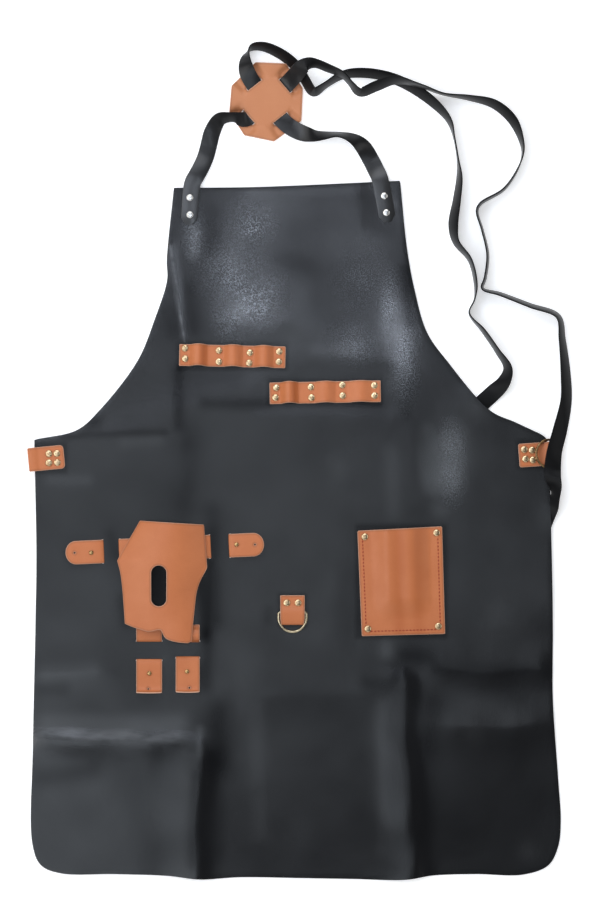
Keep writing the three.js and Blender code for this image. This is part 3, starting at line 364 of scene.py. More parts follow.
def black_leather(name, dark, mixed_tone, roughness, grain, shine):
    """Coated black leather: cloudy colour, worn creases with painted highlight, painted sheen flecks, a shine
    that follows a mark, a fine pebble.
    """
    material, tree, shader, where = new_finish(name)
    cloud, pucker = mottle(tree, where, 9, 4, 0.6), mottle(tree, where, 45, 2)
    pebble, tip = mottle(tree, where, 760, 1), mottle(tree, where, 720, 2, 0.6)
    drawn = put(tree, "ShaderNodeMapping", Vector=where, Scale=(0.3, 1, 1)).outputs["Vector"]
    streak = mottle(tree, drawn, 80, 3, 0.6)
    body = blend_colours(tree, span(tree, cloud, 0.3, 0.7, 0, 1), dark, mixed_tone)
    # Pale crease lines: partly rubbed wear, partly painted highlight.
    rub_and_highlight = calculate(tree, "MULTIPLY", reading(tree, "wear_and_highlight"), span(tree, streak, 0.32, 0.68, 0.2, 1))
    # Pale flecks of painted sheen, where the panel is marked for it.
    fleck = calculate(tree, "MULTIPLY", reading(tree, "painted_sheen"), span(tree, tip, 0.51, 0.62, 0, 1))
    creased = blend_colours(tree, rub_and_highlight, body, WEAR_AND_HIGHLIGHT_TONE)
    puckers = embossed(tree, pucker, 0.12 * grain, 0.001)
    feed(
        tree, shader,
        Base_Color=blend_colours(tree, fleck, creased, SHEEN_FLECK_TONE),
        Specular_IOR_Level=span(tree, reading(tree, shine[0]), *shine[1:]),
        Roughness=span(tree, cloud, 0.3, 0.7, roughness + 0.03, roughness - 0.03),
        Normal=embossed(tree, pebble, 0.34 * grain, 0.0004, Normal=puckers),
    )
    return material


def wander(x, y, size, seed):
    """Slow noise, about a size from swell to swell."""
    return np.array([noise.noise((a / size, b / size, seed)) for a, b in zip(x, y)])


def along_fold(fold, x, y):
    """How far along and across a wandering crease each point is, and how it fades at the ends."""
    x1, y1, x2, y2, width = fold[:5]
    length = math.hypot(x2 - x1, y2 - y1)
    along = ((x - x1) * (x2 - x1) + (y - y1) * (y2 - y1)) / length
    across = ((y - y1) * (x2 - x1) - (x - x1) * (y2 - y1)) / length
    sway = wander(along, np.full_like(x, x1 + y1), CREST["sway_run"], 0.5)
    across = across + CREST["sway"] * width * sway
    return along, across, ease(along, -width, width) * ease(length - along, -width, width)


def fold_ridge(fold, x, y):
    """How high a crease stands at each point."""
    x1, y1, x2, y2, width, height, lean = fold
    along, across, ends = along_fold(fold, x, y)
    gentle = across * (x2 - x1 + y2 - y1) > 0
    flank = across / np.where(gentle, lean * width, width)
    sharp = np.exp(-CREST["steep"] * (np.hypot(flank, CREST["blunt"]) - CREST["blunt"]))
    crest = CREST["round"] * np.exp(-(flank ** 2)) + CREST["sharp"] * sharp
    uneven = 1 + CREST["uneven"] * wander(along, np.full_like(x, y1 - x1), CREST["uneven_run"], 4.5)
    return CREST["height"] * height * uneven * ends * crest


def panel_underside(x, y):
    """The panel's height off the floor, with its creases: it comes down to the floor at the skirt's edges."""
    fall = PANEL["hem_flat"] + PANEL["hem_fall"]
    off_hem = ease(y - SKIRT["hem"], PANEL["hem_flat"], fall)
    off_side = ease(np.minimum(x - SKIRT["left"], SKIRT["right"] - x), PANEL["hem_flat"], fall)
    skirt = ease(-y, SKIRT["fall_start"], SKIRT["fall_end"])
    rest = PANEL["lift"] * off_hem * (1 - skirt * (1 - off_side))
    return rest + sum(fold_ridge(fold, x, y) for fold in FOLDS)


FITTED = ("tool_strip", "waist_tab", "holster", "ring_tab", "pocket", "rivet_bib")
fitted_boxes = {name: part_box(name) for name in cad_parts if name.startswith(FITTED)}


def room_around(x, y, near, far, skip=()):
    """0 within the near distance of the fitted pieces, 1 beyond the far one."""
    free = np.ones_like(x)
    for low, high in (box for name, box in fitted_boxes.items() if not name.startswith(skip)):
        aside = np.maximum(np.maximum(low.x / MM - x, x - high.x / MM), 0)
        along = np.maximum(np.maximum(low.y / MM - y, y - high.y / MM), 0)
        free = np.minimum(free, ease(np.hypot(aside, along), near, far))
    return free


def panel_lay(x, y):
    under = panel_underside(x, y)
    relief = sum(height * (wander(x, y, size, seed) + WRINKLE_RISE) for size, height, seed in WRINKLES)
    under = np.maximum(under + relief * room_around(x, y, *CALM), 0)
    return np.column_stack([x, y, under + PANEL["thickness"] / 2])


panel_outline = np.vstack([
    curve_through(run, PANEL["step"])[:-1] for run in (BIB_TOP, RIGHT_ARMHOLE, SIDES_AND_HEM, LEFT_ARMHOLE)
])
panel_finish = black_leather(
    "panel_leather", (0.0044, 0.0046, 0.0054, 1), (0.0078, 0.0081, 0.0092, 1), 0.17, 1.0,
    ("shine_and_painted_light", 0, 2, 0, 1),
)
slit_loops = [box_loop(x, y, turn, length, SLIT_WIDTH) for x, y, turn, length in SLITS]
bib_crease = curve_through([FOLDS[0][:2], FOLDS[0][2:4], FOLDS[1][2:4]], CREASE_STEP)
crease_rows = np.array([(x + aside, y) for aside in CREASE_ASIDES for x, y in bib_crease])
panel = leather_sheet(
    "panel", panel_outline, slit_loops, PANEL["pitch"], panel_lay, PANEL["thickness"], panel_finish,
    crease_rows[inside(crease_rows, panel_outline)],
)
plan = np.array([v.co[:2] for v in panel.data.vertices]) / MM
wear_and_highlight, painted_sheen = np.zeros(len(plan)), np.zeros(len(plan))
for which, half, aside, strength in CREASE_WEAR_AND_HIGHLIGHT:
    along, across, ends = along_fold(FOLDS[which], *plan.T)
    wear_and_highlight = np.maximum(wear_and_highlight, strength * ends * np.exp(-(((across - aside) / half) ** 2)))
# Spots of painted sheen, broken up by a slow cloud.
for x, y, reach_x, reach_y, strength in PAINTED_SHEEN_SPOTS:
    spot = np.exp(-(((plan[:, 0] - x) / reach_x) ** 2) - ((plan[:, 1] - y) / reach_y) ** 2)
    painted_sheen = np.maximum(painted_sheen, strength * spot)
cloud = 1 + wander(*plan.T, PAINTED_SHEEN_CLOUD["size"], PAINTED_SHEEN_CLOUD["seed"])
painted_sheen = np.minimum(painted_sheen * np.clip(cloud, PAINTED_SHEEN_CLOUD["least"], PAINTED_SHEEN_CLOUD["most"]), 1)
# Painted light in the coat's shine: contact shade beside the fitted pieces, then the runs of painted shade
# and sheen.
shine_and_painted_light = SHINE_AND_CONTACT_SHADE["beside"] + SHINE_AND_CONTACT_SHADE["open"] * room_around(*plan.T, *SHINE_AND_CONTACT_SHADE["halo"], ("holster", "rivet"))
for size, change, seed in GLOSS_CLOUDS:
    shine_and_painted_light += change * wander(*plan.T, size, seed)
for run in PAINTED_SHADE_RUNS + PAINTED_SHEEN_RUNS:
    along, across, ends = along_fold(run, *plan.T)
    shine_and_painted_light += run[5] * ends * np.exp(-((across / run[4]) ** 2))
mark(panel, "wear_and_highlight", wear_and_highlight)
mark(panel, "painted_sheen", painted_sheen)
mark(panel, "shine_and_painted_light", np.clip(shine_and_painted_light, SHINE_AND_CONTACT_SHADE["least"], SHINE_AND_CONTACT_SHADE["most"]))
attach(panel, "apron")
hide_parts("apron_panel")

# Neck straps
# Two black faux leather straps, each a flat strip 19 mm wide, riveted to the top corners of the bib.
# They are laid loose: each row gives the plan place, the roll about the run and the lowest edge's height.
STRAP = {"width": 19, "thickness": 1.6, "step": 2.5, "tip": 8, "tip_share": 0.42, "round": 0.5}
BIB_END_SHEEN = {"run": 42, "fade": 24, "shine": 0.9}  # a painted sheen on the end on the bib, along its riveted run
GAP = 0.3
ON_PANEL = PANEL["lift"] + PANEL["thickness"] + GAP
LEFT_ROUTE = (
    (-126, 268, 0, ON_PANEL), (-125.6, 274, 0, ON_PANEL), (-122, 315, 0, ON_PANEL), (-118, 323, 0, 5.8),
    (-112.5, 333, 0, 4.4), (-107, 346, 0, 1.0), (-104, 357, 0, 0), (-99.5, 374, 15, 0), (-91, 388, 42, 0),
    (-79, 390.2, 60, 0.4), (-70, 389.4, 50, 1.6), (-64.5, 388.2, 20, 2.5), (-59, 390.1, 0, 2.5),
    (-37.3, 408.6, 0, 2.1), (-16.4, 426.5, 0, 2.5), (-6, 437, 8, 12), (4, 447.5, 34, 20.5),
    (16, 450.5, 60, 15), (32, 445, 65, 15), (48, 437.5, 72, 19.5), (58, 427, 75, 18), (68, 418, 62, 15),
    (86, 424.5, 56, 16.5), (107, 431.5, 62, 18.5), (130, 427, 80, 18), (139, 424, 82, 17.2),
    (162, 416.5, 86, 3), (193, 412, 75, 0), (220.5, 405, 62, 0), (241, 387.5, 60, 0), (251, 365, 76, 0),
    (253, 350, 86, 0), (247, 331, 93, 0), (231, 308, 96, 0), (205, 292, 97, 0), (201, 284, 97, 0),
    (207, 262, 97, 0), (213, 234, 98, 0), (210, 207, 98, 0), (207, 196, 98, 0), (227, 189.5, 102, 0),
    (261, 176.5, 105, 0), (293, 164, 107, 0), (297.5, 138, 114, 0), (301.5, 98, 126, 0), (302, 69, 132, 1),
    (295, 35, 150, 4.5), (288, 7, 160, 7.2), (287, -18, 196, 7.8), (290, -30, 228, 3),
    (289.8, -40, 240, 0.6), (286, -51, 212, 0), (281, -61, 192, 0), (275, -76, 182, 0), (264, -104, 180, 0),
    (254, -150, 180, 0),
)
RIGHT_ROUTE = (
    (100, 271, 0, ON_PANEL), (99, 277, 0, ON_PANEL), (90.5, 321, 0, ON_PANEL), (86, 331, 0, 2.4),
    (80.5, 342, 0, 0.6), (71.5, 356.5, 18, 0), (59, 366, 52, 0), (43, 370.5, 72, 0), (29.5, 369.5, 62, 0),
    (16, 369, 45, 1), (2, 372.5, 12, 2.7), (-11.5, 379.5, 0, 2.7), (-21.7, 388.6, 0, 2.5),
    (-29, 398, 0, 0.2), (-37.3, 408.6, 0, 0), (-45, 418.5, 0, 0.2), (-52.2, 427.7, 0, 2.5),
    (-60, 442, -16, 2.8), (-61, 457.5, -58, 1.4), (-56, 468.5, -104, 0), (-43, 470.5, -118, 0),
    (-19.5, 460.5, -125, 0), (-1.8, 445, -125, 0), (6, 432.2, -122, 0), (15.5, 419, -120, 0),
    (28, 426, -108, 0), (47, 437.5, -114, 0), (64, 440.5, -120, 0), (92, 438, -122, 0),
    (119, 428.5, -124, 0), (150, 408, -121, 0), (169, 387, -106, 0), (175, 367, -92, 0),
    (179.5, 340, -94, 0), (181, 322, -107, 0), (178, 296, -115, 0), (174, 268, -122, 0),
    (177, 249, -110, 0), (193, 228, -101, 0), (199.5, 200, -98, 0), (198, 183, -90, 0), (192, 168, -90, 0),
    (208, 148, -101, 0), (224, 125, -104, 0), (236, 105, -118, 0), (231, 89, -142, 0), (218, 76, -174, 0),
    (204, 63, -180, 0), (187, 44, -180, 0), (179, 8, -180, 0), (184, -50, -180, 0), (202, -140, -180, 0),
)


def rounded_section(half_width, half_thickness, radius):
    """A strap's section, with its four corners rounded."""
    corners = ((1, 1, 0), (-1, 1, 90), (-1, -1, 180), (1, -1, 270))
    return [
        (
            sx * (half_width - radius) + radius * math.cos(math.radians(start + k * 45)),
            sy * (half_thickness - radius) + radius * math.sin(math.radians(start + k * 45)),
        )
        for sx, sy, start in corners for k in range(3)
    ]


def swept(lines, closed=False):
    """Quads that join rings of points in order, with the two end rings filled unless the sweep is closed."""
    size, count = len(lines[0]), len(lines)
    faces = []
    for i in range(count if closed else count - 1):
        here, after = i * size, (i + 1) % count * size
        faces += [(here + k, here + (k + 1) % size, after + (k + 1) % size, after + k) for k in range(size)]
    if not closed:
        faces += [tuple(range(size))[::-1], tuple((count - 1) * size + k for k in range(size))]
    return np.vstack(lines), faces


def laid_strap(name, route, finish):
    """A strap swept along its route, and its length in metres."""
    rows = curve_through(route, STRAP["step"])
    roll = np.radians(rows[:, 2])
    stand = STRAP["width"] * abs(np.sin(roll)) + STRAP["thickness"] * abs(np.cos(roll))
    line = np.column_stack([rows[:, :2], np.maximum(rows[:, 3], 0) + stand / 2])
    run = np.gradient(line, axis=0)
    run /= np.linalg.norm(run, axis=1)[:, None]
    level = np.cross((0, 0, 1), run)
    level /= np.linalg.norm(level, axis=1)[:, None]
    rise = np.cross(run, level)
    wide = level * np.cos(roll)[:, None] + rise * np.sin(roll)[:, None]
    face = np.cross(run, wide)
    gone = np.r_[0, np.cumsum(np.linalg.norm(np.diff(line, axis=0), axis=1))]
    rings = []
    for i, at in enumerate(gone):
        share = min(1, STRAP["tip_share"] + (1 - STRAP["tip_share"]) * at / STRAP["tip"])
        section = rounded_section(share * STRAP["width"] / 2, STRAP["thickness"] / 2, STRAP["round"])
        rings.append([line[i] + u * wide[i] + v * face[i] for u, v in section])
    obj = place_mesh(name, *swept(rings), finish)
    # Shine by how squarely the strap lies face up, raised by a painted sheen on the end on the bib.
    past_tip = ease(gone, -STRAP["tip"], BIB_END_SHEEN["fade"])
    end_sheen = past_tip * ease(BIB_END_SHEEN["run"] + BIB_END_SHEEN["fade"] - gone, 0, BIB_END_SHEEN["fade"])
    flat = np.maximum(np.cos(roll), 0) ** 2 * (1 + BIB_END_SHEEN["shine"] * end_sheen)
    mark(obj, "flat", np.repeat(flat, len(rings[0])))
    return obj, gone[-1] * MM


strap_finish = black_leather(
    "strap_leather", (0.0070, 0.0070, 0.0073, 1), (0.0120, 0.0120, 0.0125, 1), 0.3, 0.5,
    ("flat", 0.3, 2, 0.06, 0.88),
)
for name, route in (("neck_strap_left", LEFT_ROUTE), ("neck_strap_right", RIGHT_ROUTE)):
    strap, length = laid_strap(name.removeprefix("neck_"), route, strap_finish)
    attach(strap, "apron")
    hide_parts(name)

# Cross patch
# An eight-sided patch of tan faux leather with four slots, which the two straps weave through on the back.
# The middle stands on the straps and the four flaps dip under them.
TAN_THICK = 1.8
PATCH = {"x": -37.3, "y": 408.6, "rise": 4.6, "drop": 4.3, "flap": 12.8, "slot": 20.6, "gap": 3.6, "ease": 11}
PATCH_PITCH = 1.6
PATCH_CORNERS = (
    (-50.5, 452.5), (-16, 451), (3, 423.5), (1.5, 386.5), (-29.5, 363), (-63, 370), (-80, 396), (-77.5, 426),
)
RAW_EDGE = (0.70, 0.44, 0.31, 1)
# The painted shade's colour, as shares of the deep dye colour.
PAINTED_SHADE_SHARES = (0.84, 0.70, 0.42)  # shares of the deep dye
LINE_DYE = 0.6
PATCH_SLOTS = ((40.5, 27.5), (128, 24.2), (220.5, 28.5), (308, 25.4))  # turn of the strap's run, way out


def tan_leather(name, colour, deep):
    """Tan leather: a dyed face with faint clouds and grain, a paler raw edge, a darker line inside it."""
    material, tree, shader, where = new_finish(name, Specular_IOR_Level=0.42)
    cloud, grain = mottle(tree, where, 28, 5, 0.6), mottle(tree, where, 900, 3, 0.7)
    raw, inset, painted_shade = (reading(tree, key) for key in ("cut", "inset", "painted_shade"))
    painted_shade_colour = (*(share * dye for share, dye in zip(PAINTED_SHADE_SHARES, deep)), 1)
    line_dye = (*(LINE_DYE * dye for dye in deep[:3]), 1)
    face = blend_colours(tree, span(tree, cloud, 0.3, 0.7, 0, 0.7), colour, deep)
    # Painted shade where a piece is marked for it.
    creased = blend_colours(tree, painted_shade, face, painted_shade_colour)
    fleck = blend_colours(tree, span(tree, grain, 0.42, 0.75, 0, 0.35), creased, deep)
    lined = blend_colours(tree, span(tree, inset, 0.9, 2.6, 0.5, 0), fleck, line_dye)
    rim = calculate(tree, "MAXIMUM", span(tree, raw, 0.4, 0.75, 0, 1), span(tree, inset, 0.1, 0.8, 0.3, 0))
    feed(
        tree, shader,
        Base_Color=blend_colours(tree, rim, lined, RAW_EDGE),
        Roughness=span(tree, cloud, 0.3, 0.7, 0.43, 0.56),
        Normal=embossed(tree, grain, 0.22, 0.0003),
    )
    return material


def patch_lay(x, y):
    """The patch over the straps, with its flaps sunk past the slots."""
    sink = np.zeros_like(x)
    for turn, out in PATCH_SLOTS:
        a = math.radians(turn)
        along = (x - PATCH["x"]) * math.cos(a) + (y - PATCH["y"]) * math.sin(a)
        across = abs((y - PATCH["y"]) * math.cos(a) - (x - PATCH["x"]) * math.sin(a))
        spread = PATCH["gap"] / 2 + PATCH["ease"] * ease(across, PATCH["slot"] / 2, PATCH["slot"])
        past = ease(along, out - spread, out + spread)
        sink = np.maximum(sink, past * (1 - ease(across, PATCH["flap"], PATCH["slot"])))
    return np.column_stack([x, y, PATCH["rise"] - PATCH["drop"] * sink + TAN_THICK / 2])


def out_from(x, y, turn, run):
    a = math.radians(turn)
    return x + run * math.cos(a), y + run * math.sin(a)


tan_finish = tan_leather("tan_leather", (0.533, 0.171, 0.061, 1), (0.458, 0.133, 0.042, 1))
patch_slots = [
    box_loop(*out_from(PATCH["x"], PATCH["y"], turn, out), turn, PATCH["slot"], PATCH["gap"])
    for turn, out in PATCH_SLOTS
]
# A lighter copy of the tan leather for the patch: a painted sheen.
patch_sheen_finish = tan_leather("patch_leather_sheen", (0.53, 0.212, 0.094, 1), (0.478, 0.177, 0.073, 1))
patch = leather_sheet("patch", PATCH_CORNERS, patch_slots, PATCH_PITCH, patch_lay, TAN_THICK, patch_sheen_finish)
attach(patch, "apron")
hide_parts("cross_patch")

# Tool strips
# Two tan faux leather strips, each cut longer than its place and riveted down in pairs of rivets,
# so that it stands up in three loops that hold tool handles.
# Middle, turn, length, width, then each loop's start, end, height and how dark the painted shade on its far
# side is.
TOOL_STRIPS = (
    (
        "tool_strip_upper", -76.8, 119, -1.3, 120, 24,
        ((-49, -28, 7.5, 0.9), (-10, 12, 7, 0.3), (25, 47, 7, 0.4)),
    ),
    (
        "tool_strip_lower", 28.6, 78, 1.1, 125.5, 23.8,
        ((-51, -30, 8.5, 0.9), (-12, 12, 5.5, 0.1), (26, 53, 5, 0.1)),
    ),
)
STRIP_PITCH = 1.5
LOOP = {"steps": 240, "round": 1.15, "lean": 0.16, "shade_at": 0.74, "shade_width": 0.2}


def rectangle(x1, x2, y1, y2):
    return [(x1, y1), (x2, y1), (x2, y2), (x1, y2)]


def folded(name, section, outline_of, x, y, turn, pitch, finish, cuts_of=lambda total: [], lean=0):
    """A strip cut flat and folded along a section, given as rows of run and height."""
    section = np.asarray(section, float)
    along = np.r_[0, np.cumsum(np.hypot(*np.diff(section, axis=0).T))]
    c, s = math.cos(math.radians(turn)), math.sin(math.radians(turn))

    def lay(at, side):
        run, height = (np.interp(at, along, section[:, k]) for k in (0, 1))
        side = side + lean * (height - section[0, 1])
        return np.column_stack([x + run * c - side * s, y + run * s + side * c, height])

    outline = outline_of(along[-1])
    obj = leather_sheet(name, outline, cuts_of(along[-1]), pitch, lay, TAN_THICK, finish)
    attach(obj, "apron")
    return obj


on_tan = ON_PANEL + TAN_THICK / 2
for name, x, y, turn, length, width, loops in TOOL_STRIPS:
    runs = np.linspace(-length / 2, length / 2, LOOP["steps"])
    heights = np.full_like(runs, on_tan)
    for start, end, height, _ in loops:
        part = np.clip((runs - start) / (end - start), 0, 1)
        heights += height * np.sin(np.pi * part) ** LOOP["round"]
    strip = folded(
        name.removeprefix("tool_"), np.column_stack([runs, heights]),
        lambda total, half=width / 2: rectangle(0, total, -half, half),
        x, y, turn, STRIP_PITCH, tan_finish, lean=LOOP["lean"],
    )
    plan = np.array([v.co[:2] for v in strip.data.vertices]) / MM
    run = (plan - (x, y)) @ out_from(0, 0, turn, 1)
    # Painted shade on the far side of each loop.
    mixed_tone = np.zeros(len(run))
    for start, end, _, dark in loops:
        part = (run - start) / (end - start)
        mixed_tone += dark * np.exp(-(((part - LOOP["shade_at"]) / LOOP["shade_width"]) ** 2))
    mark(strip, "painted_shade", mixed_tone)
    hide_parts(name)

# Waist tabs
# Two tan faux leather tabs, each folded round the edge of the skirt and held by four rivets.
# The right one carries a ring in its fold.
WAIST_TAB = {
    "width": 26.2, "pitch": 1.3, "loop_rise": 2, "loop_run": 9, "half_run": 5, "half_rise": 1.4, "step": 1.2,
}
# Each tab: middle of its inner end, turn, length and corner radius.
WAIST_TABS = (("waist_tab_left", -268, 5, 185.5, 40.8, 4), ("waist_tab_right", 248.8, 6, 4, 40.6, 1.5))


def rounded_ends(total, half, radius):
    """A strip with its four corners rounded."""
    turns = np.radians(np.linspace(0, 90, 5))
    quarter = [(math.cos(t) * radius, math.sin(t) * radius) for t in turns]
    upper = [(total - radius + u, half - radius + v) for u, v in quarter]
    upper += [(radius - v, half - radius + u) for u, v in quarter]
    return upper + [(total - u, -v) for u, v in upper]


under_panel = PANEL["lift"] - GAP - TAN_THICK / 2
for name, x, y, turn, length, corner in WAIST_TABS:
    top = on_tan + WAIST_TAB["loop_rise"]
    bend = (top - under_panel) / 2
    fold_at = length - TAN_THICK / 2 - bend
    upper = curve_through([
        (0, on_tan), (length - WAIST_TAB["loop_run"] - bend, on_tan),
        (length - WAIST_TAB["half_run"] - bend, on_tan + WAIST_TAB["half_rise"]), (fold_at, top),
    ], WAIST_TAB["step"])
    fold = [
        (fold_at + bend * math.cos(t), (top + under_panel) / 2 + bend * math.sin(t))
        for t in np.radians(np.linspace(80, -90, 14))
    ]
    section = np.vstack([upper, fold, [(0, under_panel)]])
    tab = folded(
        name.removeprefix("waist_"), section,
        lambda total, r=corner: rounded_ends(total, WAIST_TAB["width"] / 2, r),
        x, y, turn, WAIST_TAB["pitch"], tan_finish,
    )
    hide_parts(name)

# Holster
# A stiff tan faux leather front cut to a shaped outline with an oval slot, bowed out from the panel.
# A tan strap woven through slits in the panel carries its upper half, and two short straps its foot.
HOLSTER_ROWS = (  # y, left edge, right edge, bow, lift of the right edge
    (-206, -198, -123, 10, 8), (-185, -198.5, -121.5, 11, 7), (-147, -201.2, -117.3, 14, 1),
    (-113, -207.2, -105.8, 15, 0), (-68, -181.5, -109.3, 15, 0),
)
HOLSTER_RUNS = (  # round from the top left corner, each run a smooth line
    ((-181.5, -68), (-109.3, -72.5)),
    ((-105.6, -121), (-108, -126), (-113, -135), (-117.3, -148), (-120, -170), (-122, -190), (-123, -204)),
    ((-127, -206.3), (-140, -205), (-149, -202.5), (-153, -200), (-156, -194), (-157.5, -191.4)),
    ((-161, -191), (-166, -192.3), (-172, -193.2), (-180, -191), (-190, -188), (-198.5, -184.5)),
    ((-199.8, -165), (-201.2, -147), (-203.5, -128), (-207.2, -113)),
)
HOLSTER_STEP, HOLSTER_PITCH = 3, 1.8
HOLSTER_OUTLINE = np.vstack([
    HOLSTER_RUNS[0], *(curve_through(run, HOLSTER_STEP) for run in HOLSTER_RUNS[1:]),
])
HOLSTER_SLOT = {"x": -160, "y": -141.5, "width": 18, "length": 47}


def holster_lay(x, y):
    """The front bowed out over its belt, with the right edge lifted at the foot."""
    rows = np.array(HOLSTER_ROWS)
    left, right, bow, lift = (np.interp(y, rows[:, 0], rows[:, k]) for k in range(1, 5))
    u = np.clip((x - left) / (right - left), 0, 1)
    under = ON_PANEL + GAP + TAN_THICK + bow * np.sin(np.pi * u) + lift * ease(u, 0.45, 1)
    return np.column_stack([x, y, under + TAN_THICK / 2])


def oval(x, y, width, length):
    """A slot with round ends."""
    r, straight = width / 2, length / 2 - width / 2
    turns = np.radians(np.arange(0, 360, 10))
    return [(x + r * math.cos(t), y + r * math.sin(t) + math.copysign(straight, math.sin(t))) for t in turns]


def softened(section, times=3):
    """A folded section with its corners eased."""
    rows = np.asarray(section, float)
    for _ in range(times):
        near, far = rows[:-1] * 0.75 + rows[1:] * 0.25, rows[:-1] * 0.25 + rows[1:] * 0.75
        rows = np.vstack([rows[:1], np.stack([near, far], 1).reshape(-1, 2), rows[-1:]])
    return rows


holster = leather_sheet(
    "holster_front", HOLSTER_OUTLINE, [oval(**HOLSTER_SLOT)], HOLSTER_PITCH, holster_lay,
    TAN_THICK, tan_finish,
)
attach(holster, "apron")
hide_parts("holster")

# Holster straps
# The belt behind the holster and two short straps at its foot, tan faux leather, each woven down and up
# through slits in the panel and kept by a small stud beside a spare hole.
BELT = {"x": -153, "y": -99.5, "turn": 2.6, "half": 13, "hole_in": 10, "pitch": 1.5}
BELT_RUN = (  # way along, and 1 before the panel or 0 behind it
    (-113, 1), (-72, 1), (-70, 0), (-52.5, 0), (-50.5, 1), (49.5, 1), (51.5, 0), (72.5, 0), (74.5, 1),
    (112, 1),
)
FOOT_PITCH = 1.4
LOWER_LEFT = (
    (-37, 13), (-36.4, 10.4), (-34.5, 7.8), (-31, 6.4), (-27, on_tan), (-1, on_tan), (1, under_panel),
    (21, under_panel), (23, on_tan), (30, 8.2), (50, 11),
)
LOWER_RIGHT = (
    (-39.4, 11.6), (-38.6, 9.2), (-36.5, 7.3), (-33, 6.3), (-29, on_tan), (-1, on_tan), (1, under_panel),
    (18.2, under_panel), (19.2, 9), (21.5, 12.2), (26, 13), (31, 11), (34, 7.2), (37, on_tan),
)


def punched(spots, radius=1.4):
    """Round holes at these spots."""
    turns = np.radians(np.arange(0, 360, 30))
    return [[(x + radius * math.cos(t), y + radius * math.sin(t)) for t in turns] for x, y in spots]


def bow_ended(total, half, bow=1.6):
    """A strip whose first end bows out a little."""
    sides = np.linspace(half, -half, 13)
    return [(total, -half), (total, half)] + [(bow * (v / half) ** 2, v) for v in sides]


def round_ended(total, half):
    """A strip with a round end at each side."""
    turns, reach = np.radians(np.linspace(-90, 90, 15)), half * 0.9
    right = [(total - reach + reach * math.cos(t), half * math.sin(t)) for t in turns]
    return right + [(total - u, -v) for u, v in right]


belt = folded(
    "holster_belt_strap", softened([(run, on_tan if up else under_panel) for run, up in BELT_RUN]),
    lambda total: round_ended(total, BELT["half"]),
    BELT["x"], BELT["y"], BELT["turn"], BELT["pitch"], tan_finish,
    lambda total: punched([(BELT["hole_in"], 0), (total - BELT["hole_in"], 0)]),
)
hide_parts("holster_belt")
for name, rows, x, y, width, spot in (
    ("holster_strap_left", LOWER_LEFT, -171.2, -226, 28.6, (7.5, 1)),
    ("holster_strap_right", LOWER_RIGHT, -127.5, -223, 26.6, (7.3, -2)),
):
    strap = folded(
        name.replace("holster", "foot"), softened(rows), lambda total, half=width / 2: bow_ended(total, half),
        x, y, 90, FOOT_PITCH, tan_finish, lambda total, at=spot: punched([at]),
    )
    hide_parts(name)

# Ring tab
# A short tan faux leather tab folded over the bar of the middle ring and held by two rivets.
RING_TAB = {"x": -8.5, "top": -152.8, "half": 13.5, "end_half": 12.4, "straight": 27, "fold_at": 0.54}
RING_TAB_PITCH = 1.2
RING_SECTION = (
    (0, 3.3), (12.6, 3.4), (15, 5.4), (18.7, 6.7), (26, 6.2), (31.4, 4.8), (32.7, 3.2), (31.9, 1.9),
    (29.6, 1.2), (0, 1.2),
)


def ring_tab_outline(total):
    """The tab cut flat, narrower at its fold."""
    half, end, straight = RING_TAB["half"], RING_TAB["end_half"], RING_TAB["straight"]
    middle = total * RING_TAB["fold_at"]
    lower = [
        (0, -half), (straight, -half), (middle - 2, -end), (middle + 2, -end), (total - straight, -half),
        (total, -half),
    ]
    return lower + [(u, -v) for u, v in lower[::-1]]


panel_top = PANEL["lift"] + PANEL["thickness"]
ring_section = softened([(run, panel_top + height) for run, height in RING_SECTION], 2)
ring_tab = folded(
    "ring_tab_leather", ring_section, ring_tab_outline,
    RING_TAB["x"], RING_TAB["top"], -90, RING_TAB_PITCH, tan_finish,
)
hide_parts("ring_tab")

# Pocket
# A tan faux leather patch pocket, stitched to the panel on three sides and open at the top,
# with a rivet at each corner. Its front stands off the panel and ripples.
POCKET = {
    "left": 68, "pitch": 1.8, "seam": 0.13, "fade": 0.36,
    "low": 5, "mouth": 10, "ridge": 0.59, "ripple": 0.25, "depth": 0.18,
}
# Painted shade in the hollows of the front's ripples.
POCKET_SHADE_BANDS = ((0.475, 0.07, 0.55), (0.70, 0.08, 0.5))  # darker ripples: place, half width, strength
POCKET_CORNERS = ((70.5, -198.5), (164.5, -196), (161, -74.5), (65.5, -79.5))
POCKET_SIZE = (95, 121.5)


def pocket_bulge(u, v):
    """How far the front stands off the panel."""
    sides = ease(u, POCKET["seam"], POCKET["fade"]) * ease(1 - u, POCKET["seam"], POCKET["fade"])
    wave = np.cos(2 * np.pi * (u - POCKET["ridge"]) / POCKET["ripple"])
    front = (POCKET["low"] + (POCKET["mouth"] - POCKET["low"]) * v) * ease(v, POCKET["seam"], POCKET["fade"])
    return front * sides * (1 - POCKET["depth"] * (1 - wave) / 2)


def pocket_lay(x, y):
    u, v = x / POCKET_SIZE[0], y / POCKET_SIZE[1]
    low_left, low_right, top_right, top_left = (np.array(c)[:, None] for c in POCKET_CORNERS)
    plan = (low_left * (1 - u) + low_right * u) * (1 - v) + (top_left * (1 - u) + top_right * u) * v
    return np.column_stack([*plan, on_tan + pocket_bulge(u, v)])


pocket_loop = rectangle(0, POCKET_SIZE[0], 0, POCKET_SIZE[1])
pocket = leather_sheet("pocket_front", pocket_loop, [], POCKET["pitch"], pocket_lay, TAN_THICK, tan_finish)
# Painted shade down the hollows of the front's ripples.
across = (np.array([v.co.x for v in pocket.data.vertices]) / MM - POCKET["left"]) / POCKET_SIZE[0]
mark(pocket, "painted_shade", sum(dark * np.exp(-(((across - at) / half) ** 2)) for at, half, dark in POCKET_SHADE_BANDS))
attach(pocket, "apron")
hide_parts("pocket")

